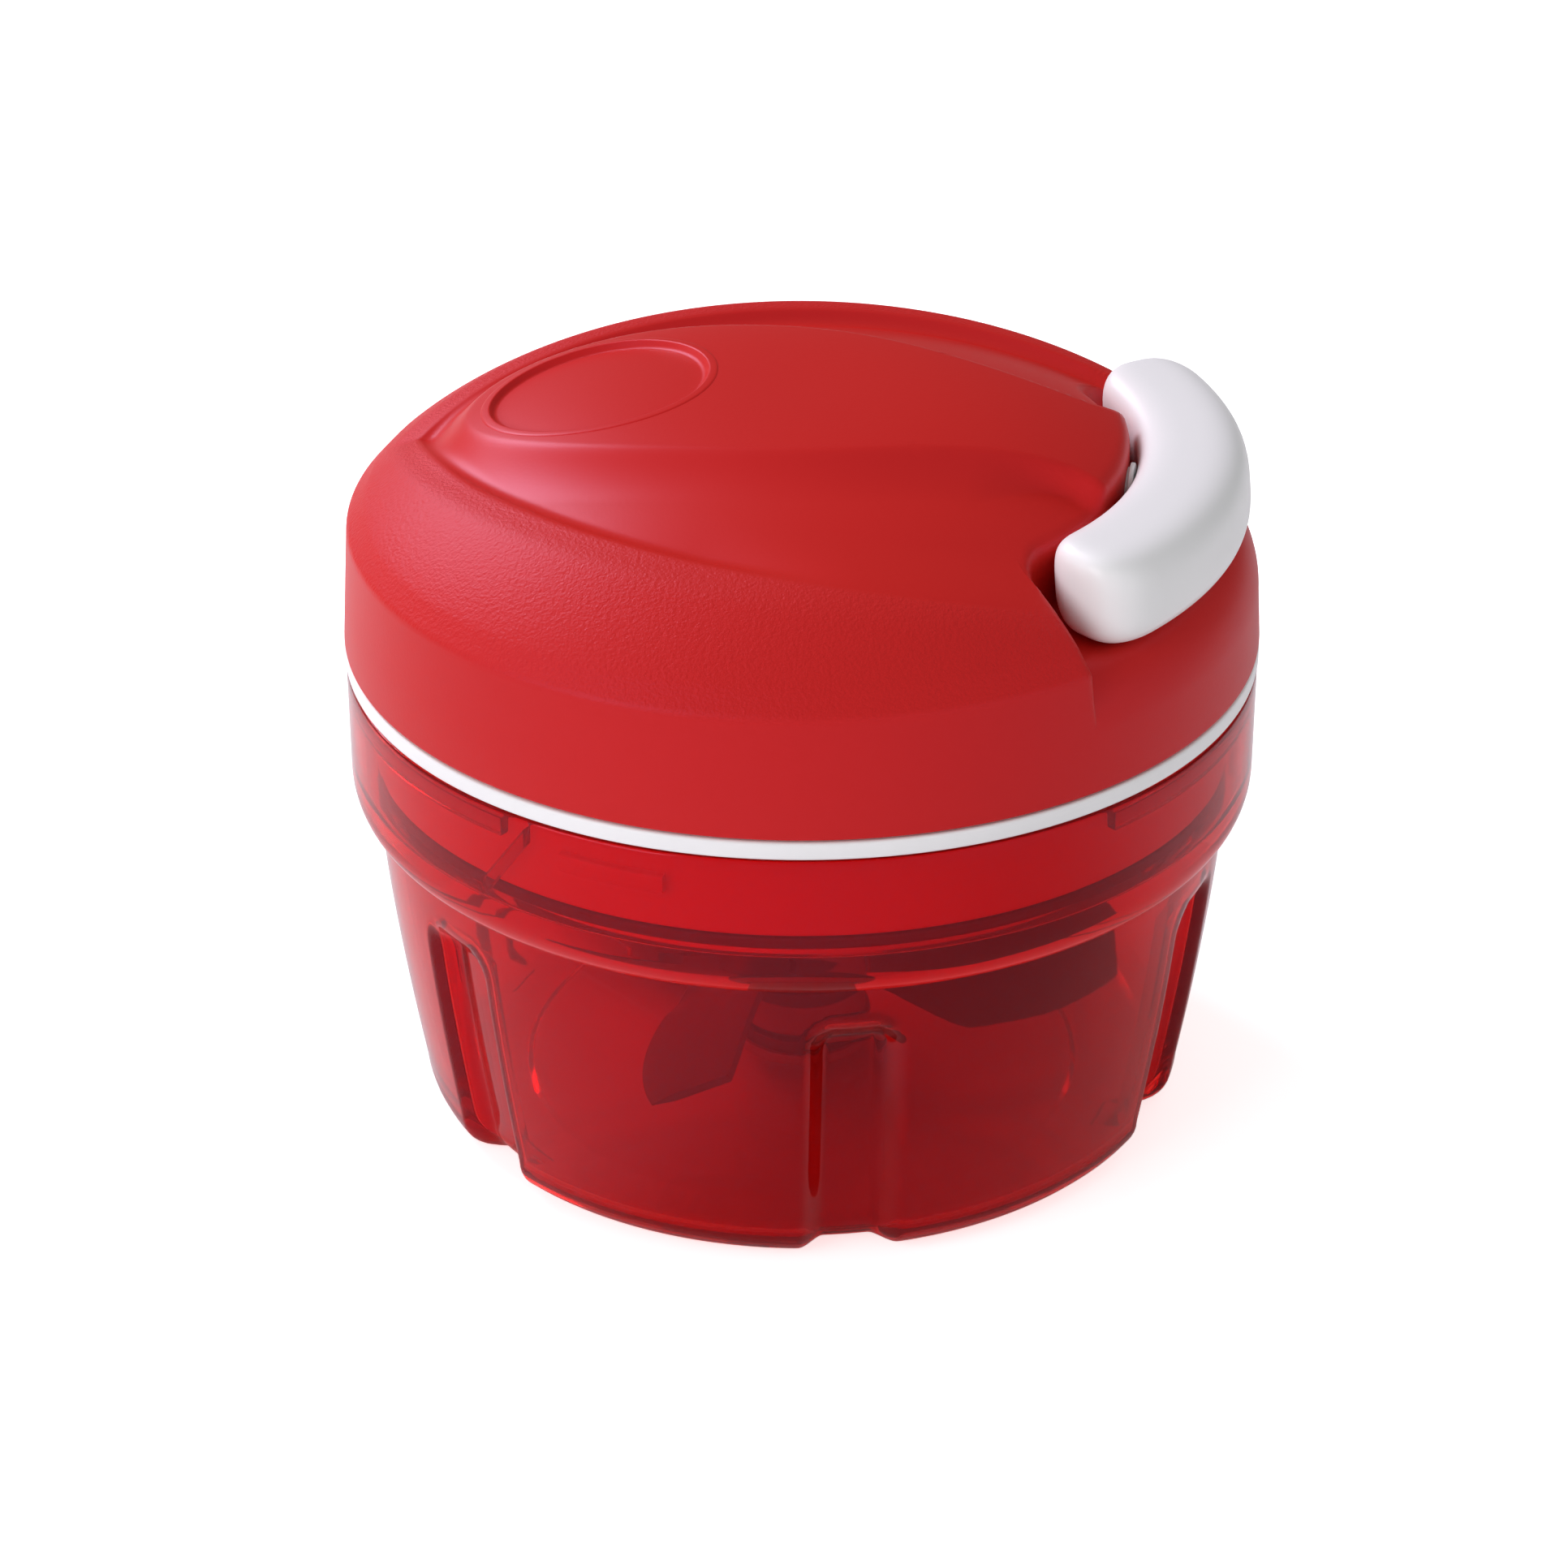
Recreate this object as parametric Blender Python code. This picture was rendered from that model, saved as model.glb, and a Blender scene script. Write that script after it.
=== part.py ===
"""Pull-cord food chopper: a clear red bowl with three blades under a lid that holds the cord reel.

Every size below is in millimetres. The origin is the centre of the bowl's foot, +Z is up, and the
handle is pulled along +X.
"""

import math

import bmesh
import bpy
from mathutils import Matrix, Vector

MM = 0.001

# Gaps between pieces
SEAT = 0.3
RUN = 0.3
SLIDE_FIT = 0.5

# Overall form
LID_RADIUS = 60.0
BOWL_HEIGHT = 64.3
RING_HEIGHT = 2.4
BAND_HEIGHT = 15.8
BAND_DRAFT = 1.0
DOME_RISE = 17.9
DOME_POWER = 2.6
DOME_FULLNESS = 0.85
ROUND_STEPS = 48
SMALL_STEPS = 20
REEL_STEPS = 30
SCREW_STEPS = 14

# Bowl
BOWL_WALL = 2.0
BOWL_FLOOR = 2.6
WALL_TAPER = 4.8
FOOT_CORNER = 5.6
FOOT_RING = 13.8
FOOT_HOLLOW_DEPTH = 0.8
WALL_CURVE = 1.4
COLLAR_OVERHANG = 3.3
COLLAR_HEIGHT = 4.5
COLLAR_INSET = 0.1
COLLAR_WALL = 1.9
LEDGE_DEPTH = 14.3
LEDGE_THICKNESS = 5.5
FLUTE_COUNT = 6
FLUTE_PHASE = -13.0
FLUTE_WIDTH = 14.0
FLUTE_DEPTH = 3.0
FLUTE_BELOW_WAIST = 5.5
FLUTE_STEPS = 16
RAMP_COUNT = 3
RAMP_PHASE = -140.0
RAMP_SWEEP = 40.0
RAMP_REACH = 1.1
RAMP_BELOW_RIM = 1.7
RAMP_HEIGHT = 2.4

# Lid cover
COVER_WALL = 2.4
ROOF = 4.6
ROOF_MARGIN = 8.0
SHOULDER_INSET = 1.4
SHOULDER_DROP = 4.5
RIM_WIDTH = 18.7
RECESS_DEPTH = 2.0
RECESS_SPREAD = 3.8
RECESS_NARROWEST = 113.0
RECESS_TURN = 40.0
ISLAND_TIP_GAP = 7.5
ISLAND_WIDEST = 33.5
ISLAND_HALF_WIDTH = 19.6
ISLAND_NECK = 10.2
ISLAND_NOSE = 12.0
ISLAND_NOSE_LENGTH = 7.2
ISLAND_FULLNESS = 2.2
ISLAND_EASE = 1.2
DISH_EDGE = 2.0
DISH_RADIUS = 15.5
DISH_DEPTH = 1.4
POCKET_ANGLE = 43.0
POCKET_GAP = 1.2
POCKET_WALL = 2.6
POCKET_LEDGE = 5.0
POCKET_DROP = 8.4
POCKET_SHELL = 2.6
POCKET_STEP = 0.5
POCKET_SIDE = 3.0
POCKET_OVERLAP = 2.0
FLOOR_ROUND = ((2.2, 0.7), (3.8, 2.4), (5.0, 5.0))
DOME_SHARES = (1.0, 0.98, 0.94, 0.87, 0.78, 0.66, 0.52, 0.36, 0.18)

# Lid base
PLATE_THICKNESS = 2.0
SKIRT_WALL = 2.0
LIP_HEIGHT = 2.0
LUG_SWEEP = 14.0
LUG_PHASE = -104.0
LUG_REACH = 1.2
LUG_HEIGHT = 2.4
SEAL_HEIGHT = 1.6
BASE_BOSS_WALL = 2.0
BASE_BOSS_DEPTH = 4.0

# Lid screws
LID_SCREW_INSET = 9.6
LID_SCREW_ANGLES = (60.0, 120.0, -120.0, -60.0)
SCREW_RADIUS = 1.2
SCREW_LENGTH = 10.0
SCREW_HEAD_RADIUS = 3.0
SCREW_HEAD_HEIGHT = 1.5
SCREW_BOSS_WALL = 1.8

# Handle
HANDLE_SETBACK = 1.2
HANDLE_DEPTH = 14.4
HANDLE_HEIGHT = 11.8
HANDLE_ANGLE = 38.5
HANDLE_SQUARENESS = 3.2
HANDLE_END = 7.0
HANDLE_END_ROUND = 2.4
HANDLE_END_FULL = 5.0
HANDLE_LEAN = 0.10
HANDLE_BODY_STEPS = 12
HANDLE_END_STEPS = 5
HANDLE_END_SHARE = 0.99
HANDLE_RING_POINTS = 18

# Cord
CORD_RADIUS = 0.9
CORD_TURNS = 2.8
CORD_PITCH = 2.25
CORD_BEND = 4.0
CORD_POINTS_PER_TURN = 24
EYELET_WALL = 1.2
EYELET_FLANGE = 0.6
EYELET_HOLE_EXTRA = 2.0
KNOT_RADIUS = 2.5
KNOT_DEPTH = 7.1
PLUG_HEIGHT = 1.4

# Reel and its spring
REEL_ROOM = 7.1
GROOVE_DEPTH = 9.0
DRUM_WALL = 1.5
REEL_PLATE = 1.2
REEL_FLANGE = 1.4
GROOVE_HEIGHT = 3.6
REEL_TOP_GAP = 0.5
SPRING_TURNS = 6
SPRING_THICKNESS = 0.5
SPRING_POINTS_PER_TURN = 16
SPRING_SIDE_GAP = 0.5
DRUM_DEPTH = 7.9
ARBOR_RADIUS = 4.0
ARBOR_FLANGE_RADIUS = 7.0
ARBOR_FLANGE = 1.5
ARBOR_SOCKET_WALL = 1.7
ARBOR_SCREW_LENGTH = 9.0
WASHER_THICKNESS = 1.0
WASHER_RADIUS = 7.0

# One-way clutch
PAWL_COUNT = 2
PAWL_THICKNESS = 3.0
PAWL_ROOM = 4.8
PAWL_TIP_GAP = 1.2
PAWL_TIP_WIDTH = 3.4
PAWL_TIP_ANGLE = 35.0
PAWL_EYE = 3.2
PAWL_PIN_RADIUS = 1.5
PAWL_PIN_HEAD = 2.6
PAWL_PIN_HEAD_HEIGHT = 1.0
TOOTH_COUNT = 12
TOOTH_DEPTH = 2.5
TOOTH_OVERHANG = 3.5
TOOTH_LEAD = 9.5
CUP_WALL = 2.5
CUP_FLOOR = 1.6
DRIVE_RADIUS = 7.0
DRIVE_LENGTH = 18.0
BUSH_WALL = 1.2
BUSH_FLANGE = 1.4
BUSH_FLANGE_RADIUS = 10.0
HEX_FLATS = 8.0
HEX_FIT = 0.5
HEX_LENGTH = 14.5
CLIP_THICKNESS = 0.8
CLIP_RADIUS = 8.8
CLIP_DEPTH = 0.8

# Blades
PIN_RADIUS = 2.5
PIN_LENGTH = 20.5
PIN_BURIED = 1.1
PIN_BOSS_WALL = 2.4
PIN_BOSS_HEIGHT = 1.1
SHAFT_RADIUS = 6.5
SHAFT_FLANGE_RADIUS = 9.5
SHAFT_FLANGE = 1.5
BLADE_HUB_RADIUS = 9.5
BLADE_HUB_HEIGHT = 2.0
BLADE_REACH = 44.0
BLADE_WIDTH = 16.0
BLADE_THICKNESS = 1.0
BLADE_SWEEP = 14.0
BLADE_STATIONS = 9
BLADE_ROOT = 2.0
BLADE_ROOT_WIDTH = 8.0
BLADE_TWIST_END = 0.33
BLADE_FLARE_END = 0.4
BLADE_TIP_NARROWING = 0.45
BLADE_TIP_POWER = 6
BLADE_BACK_SWEEP = 0.35
BLADES = (("blade_low", 130.0, 12.0), ("blade_mid", 10.0, 26.0), ("blade_high", -110.0, 34.0))
SPACER_HEIGHTS = (4.6, 4.6)
COLLAR_RING_HEIGHT = 3.0

# Sizes that follow from those above
CREASE_RADIUS = LID_RADIUS - BAND_DRAFT
COVER_INNER = LID_RADIUS - COVER_WALL
COLLAR_RADIUS = LID_RADIUS - COLLAR_INSET
COLLAR_INNER = COLLAR_RADIUS - COLLAR_WALL
WAIST_RADIUS = COLLAR_RADIUS - COLLAR_OVERHANG
FOOT_RADIUS = WAIST_RADIUS - WALL_TAPER
FOOT_HOLLOW_RADIUS = FOOT_RADIUS - FOOT_RING
LEDGE_HEIGHT = BOWL_HEIGHT - LEDGE_DEPTH
WAIST_HEIGHT = LEDGE_HEIGHT - LEDGE_THICKNESS
FLUTE_TOP = WAIST_HEIGHT - FLUTE_BELOW_WAIST
RAMP_TOP = BOWL_HEIGHT - RAMP_BELOW_RIM
RAMP_BOTTOM = RAMP_TOP - RAMP_HEIGHT
RING_BOTTOM = BOWL_HEIGHT + SEAT
RING_TOP = RING_BOTTOM + RING_HEIGHT
COVER_BOTTOM = RING_TOP + SEAT
CREASE_HEIGHT = COVER_BOTTOM + BAND_HEIGHT
CEILING = CREASE_HEIGHT + DOME_RISE - ROOF
PLATE_TOP = RING_TOP + 1.0
PLATE_BOTTOM = PLATE_TOP - PLATE_THICKNESS
SKIRT_OUTER = COLLAR_INNER - RAMP_REACH - SLIDE_FIT
SKIRT_INNER = SKIRT_OUTER - SKIRT_WALL
SEAL_BOTTOM = LEDGE_HEIGHT + SEAT
SKIRT_BOTTOM = SEAL_BOTTOM + SEAL_HEIGHT + SEAT
HANDLE_OUTER = CREASE_RADIUS - HANDLE_SETBACK
HANDLE_INNER = HANDLE_OUTER - HANDLE_DEPTH
HANDLE_CENTRE = (HANDLE_INNER + HANDLE_OUTER) / 2
KNOT_PLACE = HANDLE_INNER + KNOT_DEPTH
POCKET_INNER = HANDLE_INNER - POCKET_GAP
POCKET_BED = CREASE_RADIUS - POCKET_LEDGE
POCKET_FLOOR = CREASE_HEIGHT - POCKET_STEP
HANDLE_BOTTOM = POCKET_FLOOR + SEAT
HANDLE_MIDDLE = HANDLE_BOTTOM + HANDLE_HEIGHT / 2
LID_SCREW_CIRCLE = COVER_INNER - LID_SCREW_INSET
REEL_RADIUS = POCKET_INNER - POCKET_WALL - REEL_ROOM
DRUM_RADIUS = REEL_RADIUS - GROOVE_DEPTH
TOOTH_ROOT = DRUM_RADIUS + TOOTH_OVERHANG
TOOTH_TIP = TOOTH_ROOT - TOOTH_DEPTH
PAWL_PIVOT = WASHER_RADIUS + PAWL_EYE + PAWL_ROOM
PAWL_TIP = TOOTH_ROOT - PAWL_TIP_GAP


def dome(radius):
    """Height of the lid's outer surface at a distance from the axis."""
    share = min(radius / CREASE_RADIUS, 1.0)
    return CREASE_HEIGHT + DOME_RISE * (1.0 - share ** DOME_POWER) ** DOME_FULLNESS


REEL_CAP_TOP = dome(REEL_RADIUS) - ROOF - REEL_TOP_GAP
REEL_CAP_BOTTOM = REEL_CAP_TOP - REEL_PLATE
CORD_HEIGHT = REEL_CAP_BOTTOM - GROOVE_HEIGHT / 2
DRUM_TOP = REEL_CAP_BOTTOM - SEAT
WEB_TOP = DRUM_TOP - DRUM_DEPTH
WEB_BOTTOM = WEB_TOP - REEL_PLATE
PAWL_TOP = WEB_BOTTOM - SEAT
PAWL_BOTTOM = PAWL_TOP - PAWL_THICKNESS
PAWL_PIN_BOTTOM = PAWL_BOTTOM - RUN - PAWL_PIN_HEAD_HEIGHT
CUP_FLOOR_TOP = PAWL_PIN_BOTTOM - RUN
CUP_BOTTOM = CUP_FLOOR_TOP - CUP_FLOOR
CUP_OUTER = TOOTH_ROOT + CUP_WALL
BUSH_TOP = CUP_BOTTOM - SEAT
BASE_BOSS_TOP = BUSH_TOP - BUSH_FLANGE - SEAT
BASE_BOSS_BOTTOM = PLATE_BOTTOM - BASE_BOSS_DEPTH
BUSH_OUTER = DRIVE_RADIUS + RUN + BUSH_WALL
BASE_BORE = BUSH_OUTER + SEAT
BASE_BOSS_RADIUS = BASE_BORE + BASE_BOSS_WALL
DRIVE_BOTTOM = CUP_BOTTOM - DRIVE_LENGTH
CLIP_TOP = BASE_BOSS_BOTTOM - SEAT
BOSS_BOTTOM = PLATE_TOP + SEAT
PIN_BOSS_TOP = BOWL_FLOOR + PIN_BOSS_HEIGHT
SHAFT_BOTTOM = PIN_BOSS_TOP + SEAT
SHAFT_TOP = DRIVE_BOTTOM - 1.5


def new_material(name, colour, roughness, metallic=0.0, clear=0.0):
    """A plain finish; clear makes it see-through plastic."""
    made = bpy.data.materials.new(name)
    made.use_nodes = True
    shader = made.node_tree.nodes["Principled BSDF"]
    shader.inputs["Base Color"].default_value = (*colour, 1.0)
    shader.inputs["Roughness"].default_value = roughness
    shader.inputs["Metallic"].default_value = metallic
    shader.inputs["Transmission Weight"].default_value = clear
    made.diffuse_color = (*colour, 1.0)
    return made


def make_object(name, shape, finish, sharp=32.0):
    """Turns a mesh drawn in millimetres into a named object in metres."""
    bmesh.ops.remove_doubles(shape, verts=shape.verts, dist=0.001)
    bmesh.ops.recalc_face_normals(shape, faces=shape.faces)
    bmesh.ops.scale(shape, vec=(MM, MM, MM), verts=shape.verts)
    mesh = bpy.data.meshes.new(name)
    shape.to_mesh(mesh)
    shape.free()
    mesh.shade_smooth()
    mesh.set_sharp_from_angle(angle=math.radians(sharp))
    mesh.materials.append(finish)
    made = bpy.data.objects.new(name, mesh)
    bpy.context.scene.collection.objects.link(made)
    return made


def apply_tool(target, tool, operation):
    """Cuts, joins or trims one object with another, which is then hidden."""
    tool.hide_render = True
    tool.display_type = "WIRE"
    step = target.modifiers.new(tool.name, "BOOLEAN")
    step.operation = operation
    step.solver = "EXACT"
    step.object = tool


def ride_on(frame, *pieces):
    """Parents pieces to the empty that stands on their joint's axis."""
    for piece in pieces:
        piece.parent = frame
        piece.matrix_parent_inverse = frame.matrix_world.inverted()


def new_frame(name):
    """An empty at the middle of the object, on the axis that the lid and the blades share."""
    frame = bpy.data.objects.new(name, None)
    bpy.context.scene.collection.objects.link(frame)
    return frame


def turned(profile, steps, start=0.0, sweep=360.0):
    """Turns a closed profile of (radius, height) about Z, all round or over a sweep."""
    shape = bmesh.new()
    points = [shape.verts.new((radius, 0.0, height)) for radius, height in profile]
    for index, point in enumerate(points):
        after = points[(index + 1) % len(points)]
        if point.co.x > 0.0 or after.co.x > 0.0:
            shape.edges.new((point, after))
    bmesh.ops.rotate(shape, verts=points, matrix=Matrix.Rotation(math.radians(start), 3, "Z"))
    bmesh.ops.spin(shape, geom=shape.verts[:] + shape.edges[:], axis=(0, 0, 1), cent=(0, 0, 0),
                   angle=math.radians(sweep), steps=steps, use_merge=sweep == 360.0)
    bmesh.ops.remove_doubles(shape, verts=shape.verts, dist=0.001)
    if sweep != 360.0:
        bmesh.ops.holes_fill(shape, edges=shape.edges, sides=0)
    return shape


def ring(inner, outer, bottom, top, steps=SMALL_STEPS):
    """A plain ring, or a disc where the inner radius is nought."""
    return turned([(inner, bottom), (outer, bottom), (outer, top), (inner, top)], steps)


def drill(radius, bottom, top, place):
    """A round cutter at a place, its corners half a step off the facets that it cuts."""
    shape = turned([(0.0, bottom), (radius, bottom), (radius, top), (0.0, top)], SCREW_STEPS,
                   180.0 / SCREW_STEPS)
    return moved(shape, place)


def prism(outline, bottom, top):
    """Stands an outline of (x, y) up between two heights."""
    shape = bmesh.new()
    points = [shape.verts.new((x, y, bottom)) for x, y in outline]
    edges = [shape.edges.new((point, points[(index + 1) % len(points)]))
             for index, point in enumerate(points)]
    grown = bmesh.ops.extrude_edge_only(shape, edges=edges)
    upper = [item for item in grown["geom"] if isinstance(item, bmesh.types.BMVert)]
    bmesh.ops.translate(shape, verts=upper, vec=(0.0, 0.0, top - bottom))
    bmesh.ops.holes_fill(shape, edges=shape.edges, sides=0)
    return shape


def moved(shape, matrix):
    """The same mesh after a transform."""
    bmesh.ops.transform(shape, matrix=matrix, verts=shape.verts)
    return shape


def hexagon(flats):
    """Corners of a hexagon, given the distance across its flats."""
    corner = flats / 2 / math.cos(math.pi / 6)
    return [(corner * math.cos(turn * math.pi / 3), corner * math.sin(turn * math.pi / 3))
            for turn in range(6)]


def polar(radius, degrees):
    """A point at an angle and distance from the axis."""
    return (radius * math.cos(math.radians(degrees)), radius * math.sin(math.radians(degrees)))


def on_circle(radius, degrees):
    """Carries a mesh from the axis out to a place on a circle, turned to face outwards."""
    return Matrix.Rotation(math.radians(degrees), 4, "Z") @ Matrix.Translation((radius, 0.0, 0.0))


def arc(centre, radius, first, last, count):
    """Points round an arc of a profile, both ends with it."""
    turns = [math.radians(first + (last - first) * index / count) for index in range(count + 1)]
    return [(centre[0] + radius * math.cos(turn), centre[1] + radius * math.sin(turn))
            for turn in turns]


def along(first, last, count):
    """Even values between two, both ends with them."""
    return [first + (last - first) * index / count for index in range(count + 1)]


def bowl_wall_radius(height):
    """Outside radius of the bowl between its foot and its waist."""
    share = (WAIST_HEIGHT - height) / (WAIST_HEIGHT - FOOT_CORNER)
    return WAIST_RADIUS - (WAIST_RADIUS - FOOT_RADIUS) * share ** WALL_CURVE


def flute_tool(name, extra, finish):
    """Six round-topped grooves in one tool, made wider by the wall for the bowl's inside."""
    radius = (FLUTE_WIDTH ** 2 / 4 + FLUTE_DEPTH ** 2) / (2 * FLUTE_DEPTH)
    shoulder = FLUTE_TOP - FLUTE_WIDTH / 2
    low, high = bowl_wall_radius(FOOT_CORNER), bowl_wall_radius(shoulder)
    lean = math.atan2(high - low, shoulder - FOOT_CORNER)
    stand_off = radius - FLUTE_DEPTH
    outside = radius + extra
    whole = bmesh.new()
    for index in range(FLUTE_COUNT):
        crown = [(outside * math.cos(turn), outside * math.sin(turn))
                 for turn in along(0.0, math.pi / 2, 4)]
        crown[-1] = (0.0, outside)
        profile = [(0.0, -shoulder - FOOT_CORNER), (outside, -shoulder - FOOT_CORNER), *crown]
        one = turned(profile, FLUTE_STEPS)
        moved(one, Matrix.Rotation(lean, 4, "Y"))
        moved(one, Matrix.Translation((high + stand_off, 0.0, shoulder)))
        turn = FLUTE_PHASE + index * 360.0 / FLUTE_COUNT
        moved(one, Matrix.Rotation(math.radians(turn), 4, "Z"))
        spare = bpy.data.meshes.new(name)
        one.to_mesh(spare)
        one.free()
        whole.from_mesh(spare)
        bpy.data.meshes.remove(spare)
    return make_object(name, whole, finish)


def collar_outside():
    """Profile of the rounded step from the waist out to the collar."""
    step = COLLAR_RADIUS - WAIST_RADIUS
    rise = COLLAR_HEIGHT
    return [(WAIST_RADIUS + step * math.sin(turn), WAIST_HEIGHT + rise * (1 - math.cos(turn)))
            for turn in along(0.0, math.pi / 2, 5)]


def make_bowl(finish):
    """The moulded bowl: fluted wall, stepped collar with three ramps, and a boss for the pin."""
    wall = [(bowl_wall_radius(height), height) for height in along(FOOT_CORNER, WAIST_HEIGHT, 6)]
    corner = arc((FOOT_RADIUS - FOOT_CORNER, FOOT_CORNER), FOOT_CORNER, -90.0, 0.0, 4)
    outside = [(0.0, FOOT_HOLLOW_DEPTH), (FOOT_HOLLOW_RADIUS - FOOT_HOLLOW_DEPTH, FOOT_HOLLOW_DEPTH),
               (FOOT_HOLLOW_RADIUS, 0.0), *corner, *wall[1:], *collar_outside()[1:],
               (COLLAR_RADIUS, BOWL_HEIGHT), (0.0, BOWL_HEIGHT)]
    bowl = make_object("bowl", turned(outside, ROUND_STEPS), finish)

    inner_corner = FOOT_CORNER - BOWL_WALL
    inner_foot = FOOT_RADIUS - BOWL_WALL
    centre = (inner_foot - inner_corner, BOWL_FLOOR + inner_corner)
    floor = arc(centre, inner_corner, -90.0, 0.0, 3)
    sides = [(bowl_wall_radius(height) - BOWL_WALL, height)
             for height in along(centre[1], WAIST_HEIGHT, 5)]
    ledge_inner = WAIST_RADIUS - BOWL_WALL
    boss = PIN_RADIUS + PIN_BOSS_WALL
    inside = [(0.0, PIN_BOSS_TOP), (boss, PIN_BOSS_TOP), (boss + 1.0, BOWL_FLOOR), *floor, *sides[1:],
              (ledge_inner, LEDGE_HEIGHT), (COLLAR_INNER, LEDGE_HEIGHT),
              (COLLAR_INNER, BOWL_HEIGHT + 5.0), (0.0, BOWL_HEIGHT + 5.0)]
    hollow = make_object("bowl_hollow", turned(inside, ROUND_STEPS), finish)
    apply_tool(hollow, flute_tool("flutes_inside", BOWL_WALL, finish), "DIFFERENCE")
    apply_tool(bowl, flute_tool("flutes_outside", 0.0, finish), "DIFFERENCE")
    apply_tool(bowl, hollow, "DIFFERENCE")

    for index in range(RAMP_COUNT):
        start = RAMP_PHASE - RAMP_SWEEP / 2 + index * 360.0 / RAMP_COUNT
        inner, outer = COLLAR_INNER - RAMP_REACH, COLLAR_INNER + COLLAR_WALL / 2
        profile = [(inner, RAMP_BOTTOM), (outer, RAMP_BOTTOM), (outer, RAMP_TOP), (inner, RAMP_TOP)]
        ramp = make_object(f"ramp_{index}", turned(profile, 6, start, RAMP_SWEEP), finish)
        apply_tool(bowl, ramp, "UNION")

    hole_bottom = PIN_BOSS_TOP - PIN_BOSS_HEIGHT - PIN_BURIED - SEAT
    hole = ring(0.0, PIN_RADIUS + SEAT, hole_bottom, PIN_BOSS_TOP + 2.0, SMALL_STEPS)
    apply_tool(bowl, make_object("pin_hole", hole, finish), "DIFFERENCE")
    return bowl


def make_pivot_pin(finish):
    """Steel pin that stands in the bowl's floor and carries the blade shaft."""
    bottom = BOWL_FLOOR - PIN_BURIED
    top = bottom + PIN_LENGTH
    profile = [(0.0, bottom), (PIN_RADIUS, bottom), (PIN_RADIUS, top - 1.0), (PIN_RADIUS - 1.0, top),
               (0.0, top)]
    return make_object("pivot_pin", turned(profile, SMALL_STEPS), finish)


def recess_edge(degrees):
    """Distance from the axis to the edge of the lid's eye-shaped recess."""
    away = (abs(degrees) - RECESS_NARROWEST) / RECESS_TURN
    return CREASE_RADIUS - RIM_WIDTH + RECESS_SPREAD * away ** 2


def island_tip():
    """Where the raised middle of the lid ends, on the side away from the handle."""
    return ISLAND_TIP_GAP - recess_edge(180.0)


def island_half_width(place):
    """Half the width of the raised middle of the lid at a place along the pull axis."""
    widest = island_tip() + ISLAND_WIDEST
    neck = POCKET_INNER - ISLAND_NOSE_LENGTH
    if place <= widest:
        share = (widest - place) / ISLAND_WIDEST
        return ISLAND_HALF_WIDTH * (1.0 - share ** ISLAND_FULLNESS) ** (1.0 / ISLAND_FULLNESS)
    if place <= neck:
        share = ((place - widest) / (neck - widest)) ** ISLAND_EASE
        return ISLAND_NECK + (ISLAND_HALF_WIDTH - ISLAND_NECK) * (1.0 + math.cos(math.pi * share)) / 2
    share = (place - neck) / ISLAND_NOSE_LENGTH
    return ISLAND_NECK + (ISLAND_NOSE - ISLAND_NECK) * share ** 2


def island_outline():
    """Closed outline of the raised middle, from its tip to just past the pocket's back wall."""
    tip, widest, end = island_tip(), island_tip() + ISLAND_WIDEST, POCKET_INNER + POCKET_WALL
    places = [widest - ISLAND_WIDEST * math.cos(turn) for turn in along(0.0, math.pi / 2, 5)]
    places += along(widest, end, 6)[1:]
    half = [(tip, 0.0)] + [(place, island_half_width(place)) for place in places[1:]]
    return half + [(x, -y) for x, y in reversed(half[1:])]


def recess_outline():
    """Closed outline of the recess, open towards the handle's pocket."""
    one_side = [polar(recess_edge(turn), turn) for turn in along(180.0, POCKET_ANGLE - POCKET_SIDE, 20)]
    return one_side + [(x, -y) for x, y in reversed(one_side[1:])]


def make_recess(finish):
    """Tool for the two scoops on either side of the raised middle."""
    far = CREASE_RADIUS - 3.0
    floor = [(radius, dome(radius) - RECESS_DEPTH) for radius in along(0.0, far, 8)]
    high = dome(0.0) + 5.0
    space = make_object("recess", turned([*floor, (far, high), (0.0, high)], ROUND_STEPS), finish)
    below = dome(far) - 10.0
    lens = make_object("recess_lens", prism(recess_outline(), below, high - 2.0), finish)
    island = make_object("recess_island", prism(island_outline(), below - 2.0, high + 2.0), finish)
    apply_tool(space, lens, "INTERSECT")
    apply_tool(space, island, "DIFFERENCE")
    return space


def make_dish(finish):
    """Tool for the shallow round finger dish on the raised middle."""
    ball = (DISH_RADIUS ** 2 + DISH_DEPTH ** 2) / (2 * DISH_DEPTH)
    opening = math.asin(DISH_RADIUS / ball)
    hollow = [(ball * math.sin(turn), ball * (1 - math.cos(turn)) - DISH_DEPTH)
              for turn in along(0.0, opening, 4)]
    hollow[0] = (0.0, -DISH_DEPTH)
    shape = turned([*hollow, (DISH_RADIUS, ROOF), (0.0, ROOF)], ROUND_STEPS // 2)
    place = island_tip() + DISH_EDGE + DISH_RADIUS
    low, high = dome(DISH_RADIUS - place), dome(abs(place + DISH_RADIUS))
    moved(shape, Matrix.Rotation(math.atan2(low - high, 2 * DISH_RADIUS), 4, "Y"))
    moved(shape, Matrix.Translation((place, 0.0, (low + high) / 2)))
    return make_object("dish", shape, finish)


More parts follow.
